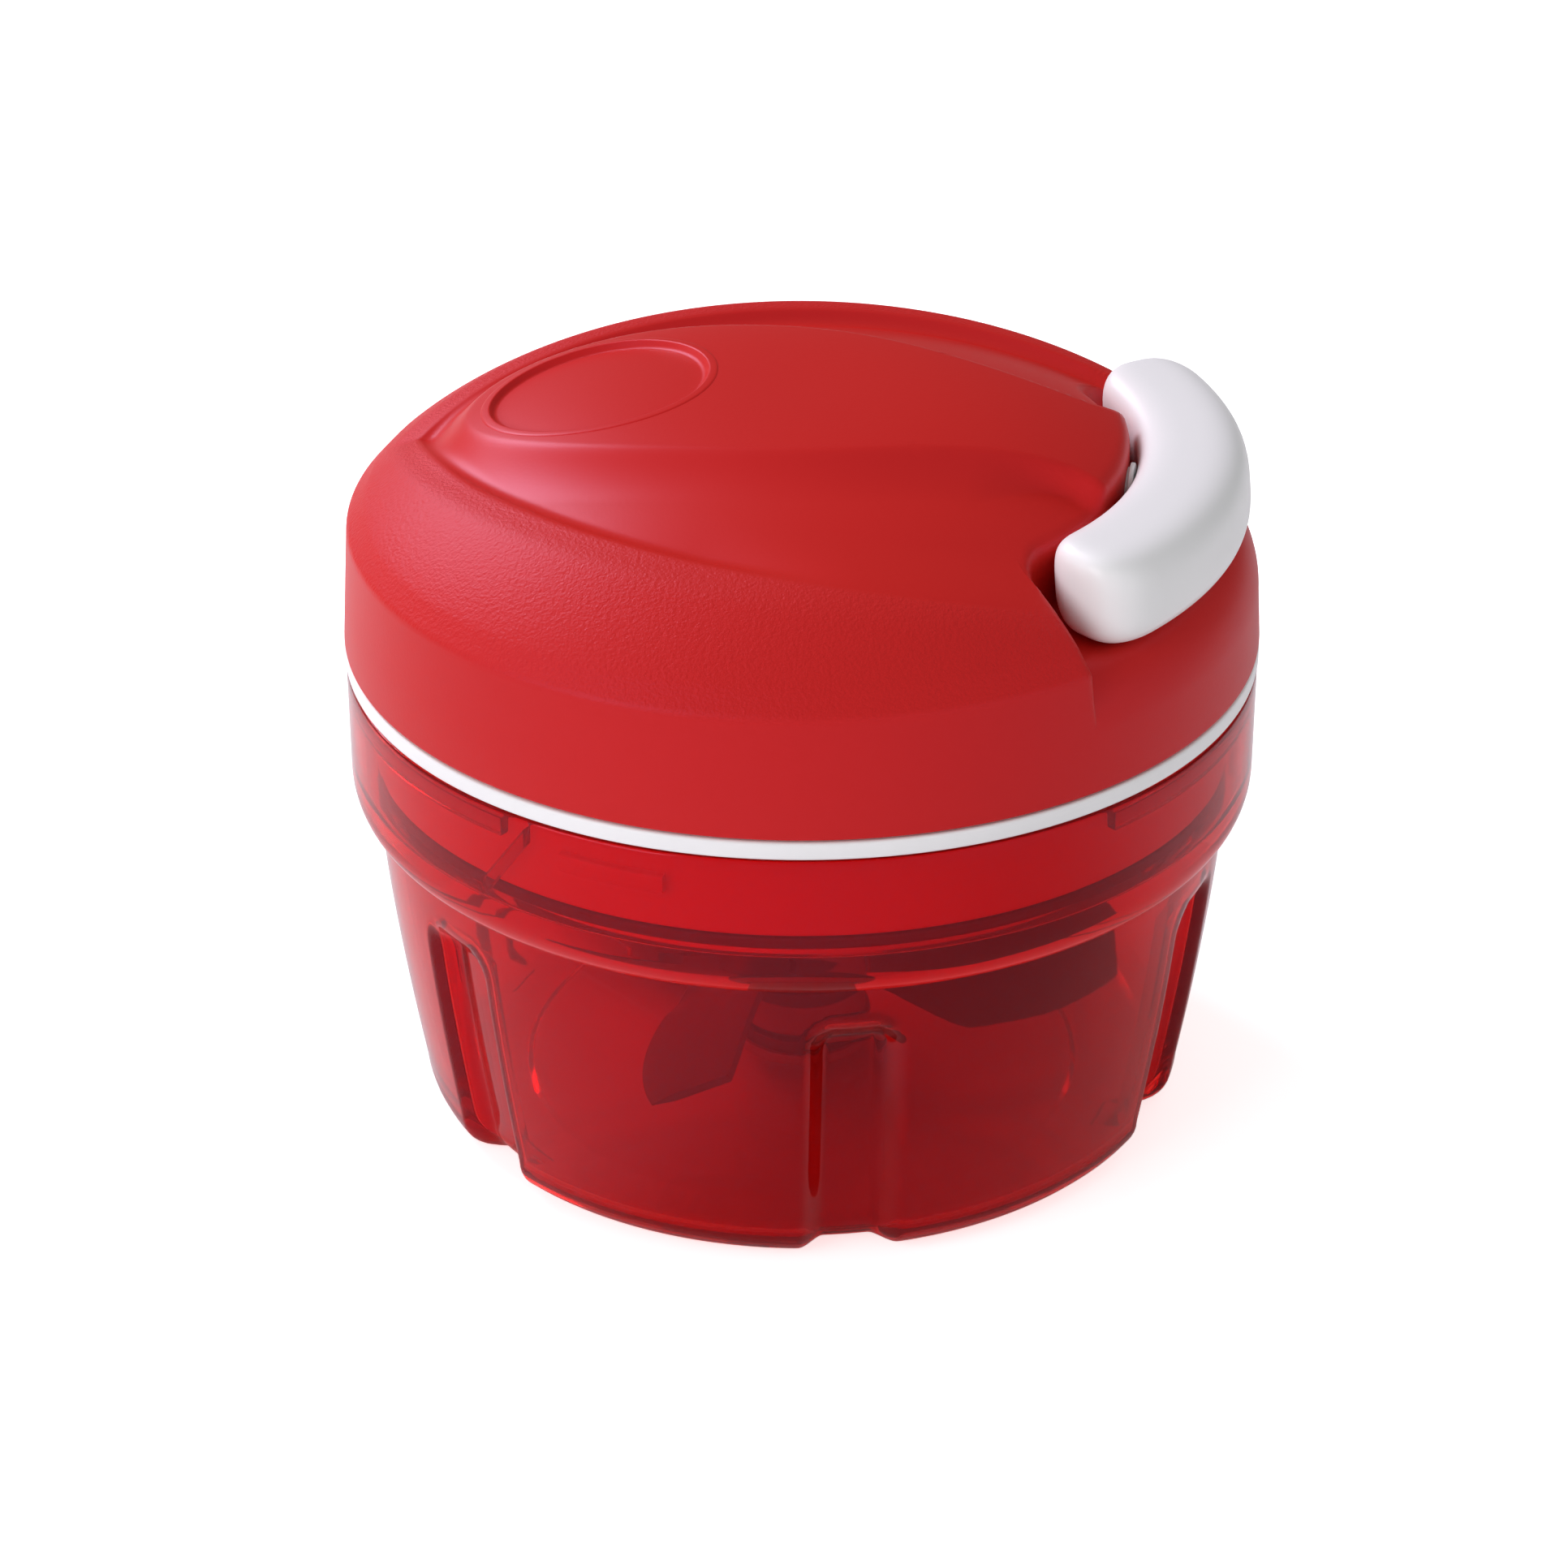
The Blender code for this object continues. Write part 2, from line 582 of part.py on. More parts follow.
def cover_shell():
    """Profile of the cover before anything is cut from it."""
    reach = CREASE_RADIUS
    outer = [(reach * share, dome(reach * share)) for share in DOME_SHARES]
    inner_reach = reach - ROOF_MARGIN
    inner = [(radius, dome(radius) - ROOF) for radius in along(0.0, inner_reach, 6)]
    shoulder = dome(inner_reach) - ROOF
    return [(LID_RADIUS, COVER_BOTTOM), *outer, (0.0, dome(0.0)), *inner,
            (COVER_INNER - SHOULDER_INSET, shoulder - SHOULDER_DROP),
            (COVER_INNER, shoulder - 2 * SHOULDER_DROP), (COVER_INNER, COVER_BOTTOM)]


def pocket_body():
    """Profile of the material that stands behind the handle's pocket."""
    back = POCKET_INNER - POCKET_WALL
    under = POCKET_FLOOR - POCKET_SHELL
    top = [(radius, dome(radius) - ROOF / 2) for radius in along(CREASE_RADIUS - 1.5, back, 5)]
    low = POCKET_FLOOR - POCKET_DROP - POCKET_OVERLAP
    return [(back, under), (POCKET_BED - POCKET_OVERLAP, under),
            (COVER_INNER - POCKET_OVERLAP, under - POCKET_SHELL - SEAT),
            (COVER_INNER - 1.2, low), (COVER_INNER + 1.0, low), *top]


def pocket_space():
    """Profile cut out for the handle, with its floor rounded down into the band."""
    low = POCKET_FLOOR - POCKET_DROP
    outside = LID_RADIUS + POCKET_LEDGE
    rounded = [(POCKET_BED + across, POCKET_FLOOR - down) for across, down in FLOOR_ROUND]
    return [(POCKET_INNER, POCKET_FLOOR), (POCKET_BED, POCKET_FLOOR), *rounded,
            (LID_RADIUS - COLLAR_INSET * 2, low), (outside, low), (outside, dome(0.0)),
            (POCKET_INNER, dome(0.0))]


def make_lid_cover(finish):
    """The red moulded cover with its recess, finger dish, handle pocket and screw bosses."""
    cover = make_object("lid_cover", turned(cover_shell(), ROUND_STEPS), finish)
    wall_angle = POCKET_ANGLE + POCKET_SIDE
    body = turned(pocket_body(), 14, -wall_angle, 2 * wall_angle)
    apply_tool(cover, make_object("pocket_body", body, finish), "UNION")
    space = turned(pocket_space(), 14, -POCKET_ANGLE, 2 * POCKET_ANGLE)
    apply_tool(cover, make_object("pocket_space", space, finish), "DIFFERENCE")
    apply_tool(cover, make_recess(finish), "DIFFERENCE")
    apply_tool(cover, make_dish(finish), "DIFFERENCE")

    socket_inner = ARBOR_FLANGE_RADIUS + SEAT
    socket_bottom = CEILING - SEAT - ARBOR_FLANGE - 0.4
    socket = ring(socket_inner, socket_inner + ARBOR_SOCKET_WALL, socket_bottom, CEILING + 1.0)
    apply_tool(cover, make_object("arbor_socket", socket, finish), "UNION")

    length = POCKET_WALL + 2 * EYELET_HOLE_EXTRA
    hole = moved(ring(0.0, eyelet_outer() + SEAT, 0.0, length, 20), Matrix.Rotation(math.pi / 2, 4, "Y"))
    moved(hole, Matrix.Translation((POCKET_INNER - POCKET_WALL - EYELET_HOLE_EXTRA, 0.0, CORD_HEIGHT)))
    apply_tool(cover, make_object("eyelet_hole", hole, finish), "DIFFERENCE")

    for index, turn in enumerate(LID_SCREW_ANGLES):
        place = on_circle(LID_SCREW_CIRCLE, turn)
        pilot = SCREW_RADIUS + SEAT
        top = dome(LID_SCREW_CIRCLE) - ROOF / 2
        post = moved(ring(0.0, pilot + SCREW_BOSS_WALL, BOSS_BOTTOM, top, SCREW_STEPS), place)
        apply_tool(cover, make_object(f"screw_boss_{index}", post, finish), "UNION")
        hole = drill(pilot, BOSS_BOTTOM - 1.0, BOSS_BOTTOM + SCREW_LENGTH + SEAT, place)
        apply_tool(cover, make_object(f"screw_pilot_{index}", hole, finish), "DIFFERENCE")
    return cover


def make_lid_base(finish):
    """White base: the visible ring, the plate under the reel, the skirt and its three lugs."""
    lip = COVER_INNER - SLIDE_FIT
    profile = [(LID_RADIUS, RING_BOTTOM), (LID_RADIUS, RING_TOP), (lip, RING_TOP),
               (lip, RING_TOP + LIP_HEIGHT), (lip - 1.6, RING_TOP + LIP_HEIGHT), (lip - 1.6, PLATE_TOP),
               (BASE_BOSS_RADIUS, PLATE_TOP), (BASE_BOSS_RADIUS, BASE_BOSS_TOP),
               (BASE_BORE, BASE_BOSS_TOP), (BASE_BORE, BASE_BOSS_BOTTOM),
               (BASE_BOSS_RADIUS, BASE_BOSS_BOTTOM), (BASE_BOSS_RADIUS, PLATE_BOTTOM),
               (SKIRT_INNER, PLATE_BOTTOM), (SKIRT_INNER, SKIRT_BOTTOM), (SKIRT_OUTER, SKIRT_BOTTOM),
               (SKIRT_OUTER, RING_BOTTOM)]
    base = make_object("lid_base", turned(profile, ROUND_STEPS), finish)
    for index in range(RAMP_COUNT):
        start = LUG_PHASE - LUG_SWEEP / 2 + index * 360.0 / RAMP_COUNT
        low = RAMP_BOTTOM - RUN - LUG_HEIGHT
        inner, outer = SKIRT_OUTER - SKIRT_WALL / 2, SKIRT_OUTER + LUG_REACH
        edge = [(inner, low), (outer, low), (outer, low + LUG_HEIGHT), (inner, low + LUG_HEIGHT)]
        lug = make_object(f"lug_{index}", turned(edge, 3, start, LUG_SWEEP), finish)
        apply_tool(base, lug, "UNION")
    for index, turn in enumerate(LID_SCREW_ANGLES):
        place = on_circle(LID_SCREW_CIRCLE, turn)
        hole = drill(SCREW_RADIUS + 2 * SEAT, PLATE_BOTTOM - 1.0, PLATE_TOP + 1.0, place)
        apply_tool(base, make_object(f"screw_hole_{index}", hole, finish), "DIFFERENCE")
    return base


def make_seal_ring(finish):
    """Soft ring between the skirt and the bowl's ledge."""
    shape = ring(SKIRT_INNER, SKIRT_OUTER, SEAL_BOTTOM, SEAL_BOTTOM + SEAL_HEIGHT, ROUND_STEPS)
    return make_object("seal_ring", shape, finish)


def screw(name, place, head_top, length, finish):
    """A round-headed screw driven upwards, with its head's top against what it holds."""
    head_bottom = head_top - SCREW_HEAD_HEIGHT
    profile = [(0.0, head_bottom), (SCREW_HEAD_RADIUS - 0.5, head_bottom),
               (SCREW_HEAD_RADIUS, head_bottom + 0.5), (SCREW_HEAD_RADIUS, head_top),
               (SCREW_RADIUS, head_top), (SCREW_RADIUS, head_top + length), (0.0, head_top + length)]
    return make_object(name, moved(turned(profile, SCREW_STEPS), place), finish)


def eyelet_outer():
    """Outside radius of the cord's eyelet."""
    return CORD_RADIUS + SLIDE_FIT + EYELET_WALL


def make_eyelet(finish):
    """Smooth bush in the pocket's back wall that the cord runs through."""
    bore = CORD_RADIUS + SLIDE_FIT
    outer = eyelet_outer()
    back = POCKET_INNER - POCKET_WALL - 0.6
    front = POCKET_INNER + EYELET_FLANGE + SEAT
    profile = [(bore, 0.0), (outer, 0.0), (outer, front - back - EYELET_FLANGE),
               (outer + 0.6, front - back - EYELET_FLANGE), (outer + 0.6, front - back),
               (bore, front - back)]
    shape = moved(turned(profile, 20), Matrix.Rotation(math.pi / 2, 4, "Y"))
    moved(shape, Matrix.Translation((back, 0.0, CORD_HEIGHT)))
    return make_object("cord_eyelet", shape, finish)


def handle_ring(turn, width, height):
    """One rounded cross-section of the handle at an angle, with shares of its full width and height."""
    half_width = (HANDLE_OUTER - HANDLE_INNER) / 2 * width
    half_height = HANDLE_HEIGHT / 2 * height
    power = 2.0 / HANDLE_SQUARENESS
    points = []
    for index in range(HANDLE_RING_POINTS):
        angle = 2 * math.pi * (index + 0.5) / HANDLE_RING_POINTS
        across = math.copysign(abs(math.cos(angle)) ** power, math.cos(angle))
        up = math.copysign(abs(math.sin(angle)) ** power, math.sin(angle))
        rise = half_height * up
        radius = HANDLE_CENTRE + half_width * across - HANDLE_LEAN * rise
        points.append((*polar(radius, turn), HANDLE_MIDDLE + rise))
    return points


def make_handle(finish):
    """The white pull grip, bent round the lid, with a bore and a well for the cord's knot."""
    end = math.degrees(HANDLE_END / HANDLE_CENTRE)
    stations = [(turn, 1.0, 1.0) for turn in along(-HANDLE_ANGLE + end, HANDLE_ANGLE - end,
                                                   HANDLE_BODY_STEPS)]
    for index in range(1, HANDLE_END_STEPS + 1):
        share = math.sin(math.pi / 2 * index / HANDLE_END_STEPS) * HANDLE_END_SHARE
        width = (1.0 - share ** HANDLE_END_ROUND) ** (1.0 / HANDLE_END_ROUND)
        height = (1.0 - share ** HANDLE_END_FULL) ** (1.0 / HANDLE_END_FULL)
        stations.insert(0, (-HANDLE_ANGLE + end * (1 - share), width, height))
        stations.append((HANDLE_ANGLE - end * (1 - share), width, height))
    shape = bmesh.new()
    loops = []
    for station in stations:
        corners = [shape.verts.new(point) for point in handle_ring(*station)]
        loops.append([shape.edges.new((corner, corners[(index + 1) % len(corners)]))
                      for index, corner in enumerate(corners)])
    for first, second in zip(loops, loops[1:]):
        bmesh.ops.bridge_loops(shape, edges=first + second)
    bmesh.ops.holes_fill(shape, edges=loops[0] + loops[-1], sides=0)
    grip = make_object("handle_grip", shape, finish)

    bore = moved(ring(0.0, CORD_RADIUS + SLIDE_FIT, 0.0, KNOT_PLACE - HANDLE_INNER + 4.0, 16),
                 Matrix.Rotation(math.pi / 2, 4, "Y"))
    moved(bore, Matrix.Translation((HANDLE_INNER - 4.0, 0.0, CORD_HEIGHT)))
    well = ring(0.0, KNOT_RADIUS + SLIDE_FIT, HANDLE_BOTTOM - 2.0, CORD_HEIGHT + KNOT_RADIUS, 20)
    moved(well, Matrix.Translation((KNOT_PLACE, 0.0, 0.0)))
    apply_tool(grip, make_object("cord_bore", bore, finish), "DIFFERENCE")
    apply_tool(grip, make_object("knot_well", well, finish), "DIFFERENCE")
    return grip


def make_plug(finish):
    """Small disc that closes the knot's well from below."""
    bottom = HANDLE_BOTTOM + 0.6
    shape = ring(0.0, KNOT_RADIUS + SLIDE_FIT - SEAT, bottom, bottom + PLUG_HEIGHT, 20)
    return make_object("handle_plug", moved(shape, Matrix.Translation((KNOT_PLACE, 0.0, 0.0))), finish)


def make_knot(finish):
    """The knot that holds the cord in the handle."""
    shape = bmesh.new()
    bmesh.ops.create_uvsphere(shape, u_segments=12, v_segments=8, radius=KNOT_RADIUS - 0.1)
    moved(shape, Matrix.Translation((KNOT_PLACE, 0.0, CORD_HEIGHT)))
    return make_object("cord_knot", shape, finish)


def cord_corner():
    """Where the cord's two straight runs would meet, just inside the eyelet."""
    turn_room = CORD_BEND * 0.6
    return POCKET_INNER - POCKET_WALL - 0.6 - turn_room


def winding_outside():
    """Radius of the cord's outermost turn on the reel."""
    return DRUM_RADIUS + SEAT + CORD_RADIUS + CORD_PITCH * CORD_TURNS


def leaving_angle():
    """Angle at which the cord leaves the winding, in degrees below the pull axis."""
    return math.degrees(math.acos(winding_outside() / cord_corner()))


def make_tube(name, points, radius, finish, resolution):
    """A round cord along a list of points."""
    curve = bpy.data.curves.new(name, "CURVE")
    curve.dimensions = "3D"
    curve.bevel_depth = radius * MM
    curve.bevel_resolution = resolution
    curve.use_fill_caps = True
    spline = curve.splines.new("POLY")
    spline.points.add(len(points) - 1)
    for place, point in zip(spline.points, points):
        place.co = (*(Vector(point) * MM), 1.0)
    curve.materials.append(finish)
    made = bpy.data.objects.new(name, curve)
    bpy.context.scene.collection.objects.link(made)
    return made


def make_winding(finish):
    """The cord on the reel: a flat spiral whose last stretch runs straight off along the cord."""
    outside = winding_outside()
    count = round(CORD_TURNS * CORD_POINTS_PER_TURN)
    points = []
    for index in range(count + 1):
        back = CORD_TURNS * (1 - index / count)
        points.append((*polar(outside - CORD_PITCH * back, -leaving_angle() - 360.0 * back),
                       CORD_HEIGHT))
    x, y = polar(outside, -leaving_angle())
    ahead = polar(2 * CORD_RADIUS, 90.0 - leaving_angle())
    points.append((x + ahead[0], y + ahead[1], CORD_HEIGHT))
    return make_tube("cord_winding", points, CORD_RADIUS, finish, 1)


def make_pull_cord(finish):
    """The cord from the winding, round through the eyelet, to the knot in the handle."""
    start = Vector(polar(winding_outside(), -leaving_angle()))
    ahead = Vector(polar(1.0, 90.0 - leaving_angle()))
    corner = Vector((cord_corner(), 0.0))
    first = start + ahead * (2 * CORD_RADIUS + SEAT)
    bend = math.radians(90.0 - leaving_angle())
    setback = CORD_BEND * math.tan(bend / 2)
    enter = corner - ahead * setback
    centre = enter + Vector((ahead.y, -ahead.x)) * CORD_BEND
    points = [first.lerp(enter, share) for share in along(0.0, 1.0, 4)]
    for turn in along(0.0, bend, 4)[1:]:
        spoke = Vector((enter - centre)) @ Matrix.Rotation(turn, 2)
        points.append(centre + spoke)
    last = KNOT_PLACE - KNOT_RADIUS - SEAT
    begin = corner.x + setback
    points += [Vector((x, 0.0)) for x in along(begin, last, 4)[1:]]
    return make_tube("pull_cord", [(point.x, point.y, CORD_HEIGHT) for point in points],
                     CORD_RADIUS, finish, 2)


def make_reel(finish):
    """The reel: a drum with the cord's groove round it and the spring's well inside."""
    bore = ARBOR_RADIUS + RUN
    groove_bottom = REEL_CAP_BOTTOM - GROOVE_HEIGHT
    profile = [(bore, WEB_BOTTOM), (DRUM_RADIUS, WEB_BOTTOM), (DRUM_RADIUS, groove_bottom - REEL_FLANGE),
               (REEL_RADIUS, groove_bottom - REEL_FLANGE), (REEL_RADIUS, groove_bottom),
               (DRUM_RADIUS, groove_bottom), (DRUM_RADIUS, DRUM_TOP),
               (DRUM_RADIUS - DRUM_WALL, DRUM_TOP), (DRUM_RADIUS - DRUM_WALL, WEB_TOP), (bore, WEB_TOP)]
    reel = make_object("reel", turned(profile, REEL_STEPS), finish)
    for index in range(PAWL_COUNT):
        place = Matrix.Translation((*pawl_pivot(index), 0.0))
        hole = drill(PAWL_PIN_RADIUS + SEAT, WEB_BOTTOM - 1.0, WEB_TOP + 1.0, place)
        apply_tool(reel, make_object(f"pawl_pin_hole_{index}", hole, finish), "DIFFERENCE")
    return reel


def make_reel_cap(finish):
    """Disc that closes the spring's well and makes the groove's upper side."""
    shape = ring(ARBOR_RADIUS + RUN, REEL_RADIUS, REEL_CAP_BOTTOM, REEL_CAP_TOP, REEL_STEPS)
    return make_object("reel_cap", shape, finish)


def make_spring(finish):
    """The flat spiral spring that winds the cord back."""
    inner = ARBOR_RADIUS + RUN + SPRING_THICKNESS / 2
    outer = DRUM_RADIUS - DRUM_WALL - SEAT - SPRING_THICKNESS / 2
    count = SPRING_TURNS * SPRING_POINTS_PER_TURN
    one_side, other_side = [], []
    for index in range(count + 1):
        radius = inner + (outer - inner) * index / count
        turn = 360.0 * index / SPRING_POINTS_PER_TURN
        one_side.append(polar(radius + SPRING_THICKNESS / 2, turn))
        other_side.append(polar(radius - SPRING_THICKNESS / 2, turn))
    shape = prism(one_side + other_side[::-1], WEB_TOP + SPRING_SIDE_GAP, DRUM_TOP - SEAT)
    return make_object("recoil_spring", shape, finish)


def make_arbor(finish):
    """Fixed post under the cover that the reel turns on."""
    top = CEILING - SEAT
    bottom = WEB_BOTTOM - SEAT / 2
    profile = [(0.0, bottom), (ARBOR_RADIUS, bottom), (ARBOR_RADIUS, top - ARBOR_FLANGE),
               (ARBOR_FLANGE_RADIUS, top - ARBOR_FLANGE), (ARBOR_FLANGE_RADIUS, top), (0.0, top)]
    arbor = make_object("spring_arbor", turned(profile, SMALL_STEPS), finish)
    depth = ARBOR_SCREW_LENGTH + SEAT
    hole = drill(SCREW_RADIUS + SEAT, bottom - 1.0, bottom + depth, Matrix.Identity(4))
    apply_tool(arbor, make_object("arbor_pilot", hole, finish), "DIFFERENCE")
    return arbor


def washer_top():
    """Upper face of the washer that keeps the reel on its post."""
    return WEB_BOTTOM - SEAT / 2 - SEAT


def make_washer(finish):
    """Washer that keeps the reel on its post."""
    top = washer_top()
    shape = ring(SCREW_RADIUS + SEAT, WASHER_RADIUS, top - WASHER_THICKNESS, top)
    return make_object("arbor_washer", shape, finish)


def pawl_pivot(index):
    """Where a pawl's pin stands in the reel."""
    return polar(PAWL_PIVOT, index * 360.0 / PAWL_COUNT)


def pawl_outline():
    """A pawl round its own pin, reaching out and forward to one tooth."""
    pivot = Vector((PAWL_PIVOT, 0.0))
    tip = [Vector(polar(PAWL_TIP, PAWL_TIP_ANGLE)) - pivot,
           Vector(polar(PAWL_TIP - PAWL_TIP_WIDTH, PAWL_TIP_ANGLE)) - pivot]
    eye = [polar(PAWL_EYE, turn) for turn in along(150.0, 390.0, 10)]
    return [*eye, tuple(tip[0]), tuple(tip[1])]


def make_pawls(finish):
    """The clutch pawls under the reel, each with its origin on its own pin."""
    made = []
    for index, name in enumerate(("pawl_a", "pawl_b")):
        pawl = make_object(name, prism(pawl_outline(), PAWL_BOTTOM, PAWL_TOP), finish)
        hole = drill(PAWL_PIN_RADIUS + SEAT, PAWL_BOTTOM - 1.0, PAWL_TOP + 1.0, Matrix.Identity(4))
        bore = make_object(f"pawl_hole_{index}", hole, finish)
        for piece in (pawl, bore):
            piece.location = Vector((*pawl_pivot(index), 0.0)) * MM
            piece.rotation_euler = (0.0, 0.0, 2 * math.pi * index / PAWL_COUNT)
        apply_tool(pawl, bore, "DIFFERENCE")
        made.append(pawl)
    return made


def make_pawl_pins(finish):
    """Headed pins pressed into the reel's web."""
    made = []
    for index, name in enumerate(("pawl_pin_a", "pawl_pin_b")):
        neck = PAWL_PIN_BOTTOM + PAWL_PIN_HEAD_HEIGHT
        profile = [(0.0, PAWL_PIN_BOTTOM), (PAWL_PIN_HEAD, PAWL_PIN_BOTTOM), (PAWL_PIN_HEAD, neck),
                   (PAWL_PIN_RADIUS, neck), (PAWL_PIN_RADIUS, WEB_TOP), (0.0, WEB_TOP)]
        shape = moved(turned(profile, SCREW_STEPS), Matrix.Translation((*pawl_pivot(index), 0.0)))
        made.append(make_object(name, shape, finish))
    return made


def ratchet_outline():
    """Inside teeth that the pawls push round: a slow ramp outwards, then a straight face."""
    pitch = 360.0 / TOOTH_COUNT
    first = PAWL_TIP_ANGLE + TOOTH_LEAD
    outline = []
    for index in range(TOOTH_COUNT):
        start = first + index * pitch
        outline += [polar(TOOTH_TIP, start), polar(TOOTH_TIP * 0.5 + TOOTH_ROOT * 0.5, start + pitch / 2),
                    polar(TOOTH_ROOT, start + pitch)]
    return outline


def make_drive_cup(finish):
    """Toothed cup that the pawls turn, with the hollow shaft that drives the blades."""
    profile = [(0.0, DRIVE_BOTTOM), (DRIVE_RADIUS, DRIVE_BOTTOM)]
    groove_top, groove_bottom = CLIP_TOP + SEAT, CLIP_TOP - CLIP_THICKNESS - SEAT
    neck = DRIVE_RADIUS - CLIP_DEPTH
    profile += [(DRIVE_RADIUS, groove_bottom), (neck, groove_bottom), (neck, groove_top),
                (DRIVE_RADIUS, groove_top), (DRIVE_RADIUS, CUP_BOTTOM), (CUP_OUTER, CUP_BOTTOM),
                (CUP_OUTER, PAWL_TOP - 0.1), (0.0, PAWL_TOP - 0.1)]
    cup = make_object("drive_cup", turned(profile, REEL_STEPS), finish)
    teeth = prism(ratchet_outline(), CUP_FLOOR_TOP, PAWL_TOP + 2.0)
    apply_tool(cup, make_object("ratchet", teeth, finish), "DIFFERENCE")
    socket = prism(hexagon(HEX_FLATS + HEX_FIT), DRIVE_BOTTOM - 1.0, SHAFT_TOP + HEX_LENGTH + 1.0)
    apply_tool(cup, make_object("hex_socket", socket, finish), "DIFFERENCE")
    return cup


def make_drive_bush(finish):
    """Flanged bush in the base's boss that the drive shaft turns in."""
    bore = DRIVE_RADIUS + RUN
    profile = [(bore, BASE_BOSS_BOTTOM), (BUSH_OUTER, BASE_BOSS_BOTTOM), (BUSH_OUTER, BUSH_TOP - BUSH_FLANGE),
               (BUSH_FLANGE_RADIUS, BUSH_TOP - BUSH_FLANGE), (BUSH_FLANGE_RADIUS, BUSH_TOP),
               (bore, BUSH_TOP)]
    return make_object("drive_bush", turned(profile, SMALL_STEPS), finish)


def make_drive_clip(finish):
    """Snap ring that keeps the drive shaft up in its bush, open on one side."""
    inner = DRIVE_RADIUS - CLIP_DEPTH + RUN
    bottom = CLIP_TOP - CLIP_THICKNESS
    profile = [(inner, bottom), (CLIP_RADIUS, bottom), (CLIP_RADIUS, CLIP_TOP), (inner, CLIP_TOP)]
    return make_object("drive_clip", turned(profile, 20, 30.0, 300.0), finish)


def make_blade_shaft(finish):
    """Moulded shaft that runs on the pin below and ends in a hexagon above."""
    bore = PIN_RADIUS + RUN
    hollow_top = BOWL_FLOOR - PIN_BURIED + PIN_LENGTH + SEAT
    profile = [(bore, SHAFT_BOTTOM), (SHAFT_FLANGE_RADIUS, SHAFT_BOTTOM),
               (SHAFT_FLANGE_RADIUS, SHAFT_BOTTOM + SHAFT_FLANGE),
               (SHAFT_RADIUS, SHAFT_BOTTOM + SHAFT_FLANGE), (SHAFT_RADIUS, SHAFT_TOP - 1.0),
               (SHAFT_RADIUS - 1.0, SHAFT_TOP), (0.0, SHAFT_TOP), (0.0, hollow_top), (bore, hollow_top)]
    shaft = make_object("blade_shaft", turned(profile, SMALL_STEPS), finish)
    top = prism(hexagon(HEX_FLATS), SHAFT_TOP - 3.0, SHAFT_TOP + HEX_LENGTH)
    apply_tool(shaft, make_object("hex_end", top, finish), "UNION")
    return shaft


def blade_level(index):
    """Underside of a blade's hub, counted up the stack."""
    level = SHAFT_BOTTOM + SHAFT_FLANGE + SEAT
    for step in range(index):
        level += BLADE_HUB_HEIGHT + SPACER_HEIGHTS[step] + 2 * SEAT
    return level


def blade_wing(level, turn, tilt):
    """A swept, twisted blade with square sections, drawn out along +X and then turned."""
    shape = bmesh.new()
    root = SHAFT_RADIUS + BLADE_ROOT
    loops = []
    for index in range(BLADE_STATIONS + 1):
        share = index / BLADE_STATIONS
        distance = root + (BLADE_REACH - root) * share
        pitch = math.radians(tilt) * min(share / BLADE_TWIST_END, 1.0)
        flare = min(share / BLADE_FLARE_END, 1.0)
        full_width = BLADE_ROOT_WIDTH + (BLADE_WIDTH - BLADE_ROOT_WIDTH) * flare
        width = full_width * (1.0 - BLADE_TIP_NARROWING * share ** BLADE_TIP_POWER)
        drift = BLADE_SWEEP * (share ** 2 - BLADE_BACK_SWEEP * share)
        corners = []
        for side, face in ((-1, -1), (1, -1), (1, 1), (-1, 1)):
            across = side * width / 2
            thick = face * BLADE_THICKNESS / 2
            y = drift + across * math.cos(pitch) - thick * math.sin(pitch)
            z = across * math.sin(pitch) + thick * math.cos(pitch)
            corners.append(shape.verts.new((distance, y, z)))
        loops.append([shape.edges.new((corners[item], corners[(item + 1) % 4])) for item in range(4)])
    for first, second in zip(loops, loops[1:]):
        bmesh.ops.bridge_loops(shape, edges=first + second)
    bmesh.ops.holes_fill(shape, edges=loops[0] + loops[-1], sides=0)
    moved(shape, Matrix.Translation((0.0, 0.0, level + BLADE_HUB_HEIGHT / 2)))
    return moved(shape, Matrix.Rotation(math.radians(turn), 4, "Z"))


def make_blades(finish):
    """Three steel blades, each on its own ring round the shaft."""
    made = []
    for index, (name, turn, tilt) in enumerate(BLADES):
        level = blade_level(index)
        hub = ring(SHAFT_RADIUS + SEAT, BLADE_HUB_RADIUS, level, level + BLADE_HUB_HEIGHT)
        blade = make_object(name, hub, finish)
        apply_tool(blade, make_object(f"{name}_wing", blade_wing(level, turn, tilt), finish), "UNION")
        made.append(blade)
    return made


def make_spacers(finish):
    """Rings that hold the blades apart, and the collar on top of the stack."""
    made = []
    inner = SHAFT_RADIUS + SEAT
    for index, name in enumerate(("blade_spacer_low", "blade_spacer_high")):
        bottom = blade_level(index) + BLADE_HUB_HEIGHT + SEAT
        shape = ring(inner, BLADE_HUB_RADIUS - 0.8, bottom, bottom + SPACER_HEIGHTS[index])
        made.append(make_object(name, shape, finish))
    bottom = blade_level(len(BLADES) - 1) + BLADE_HUB_HEIGHT + SEAT
    top = bottom + COLLAR_RING_HEIGHT
    profile = [(inner, bottom), (BLADE_HUB_RADIUS, bottom), (BLADE_HUB_RADIUS - 1.5, top), (inner, top)]
    made.append(make_object("blade_collar", turned(profile, SMALL_STEPS), finish))
    return made


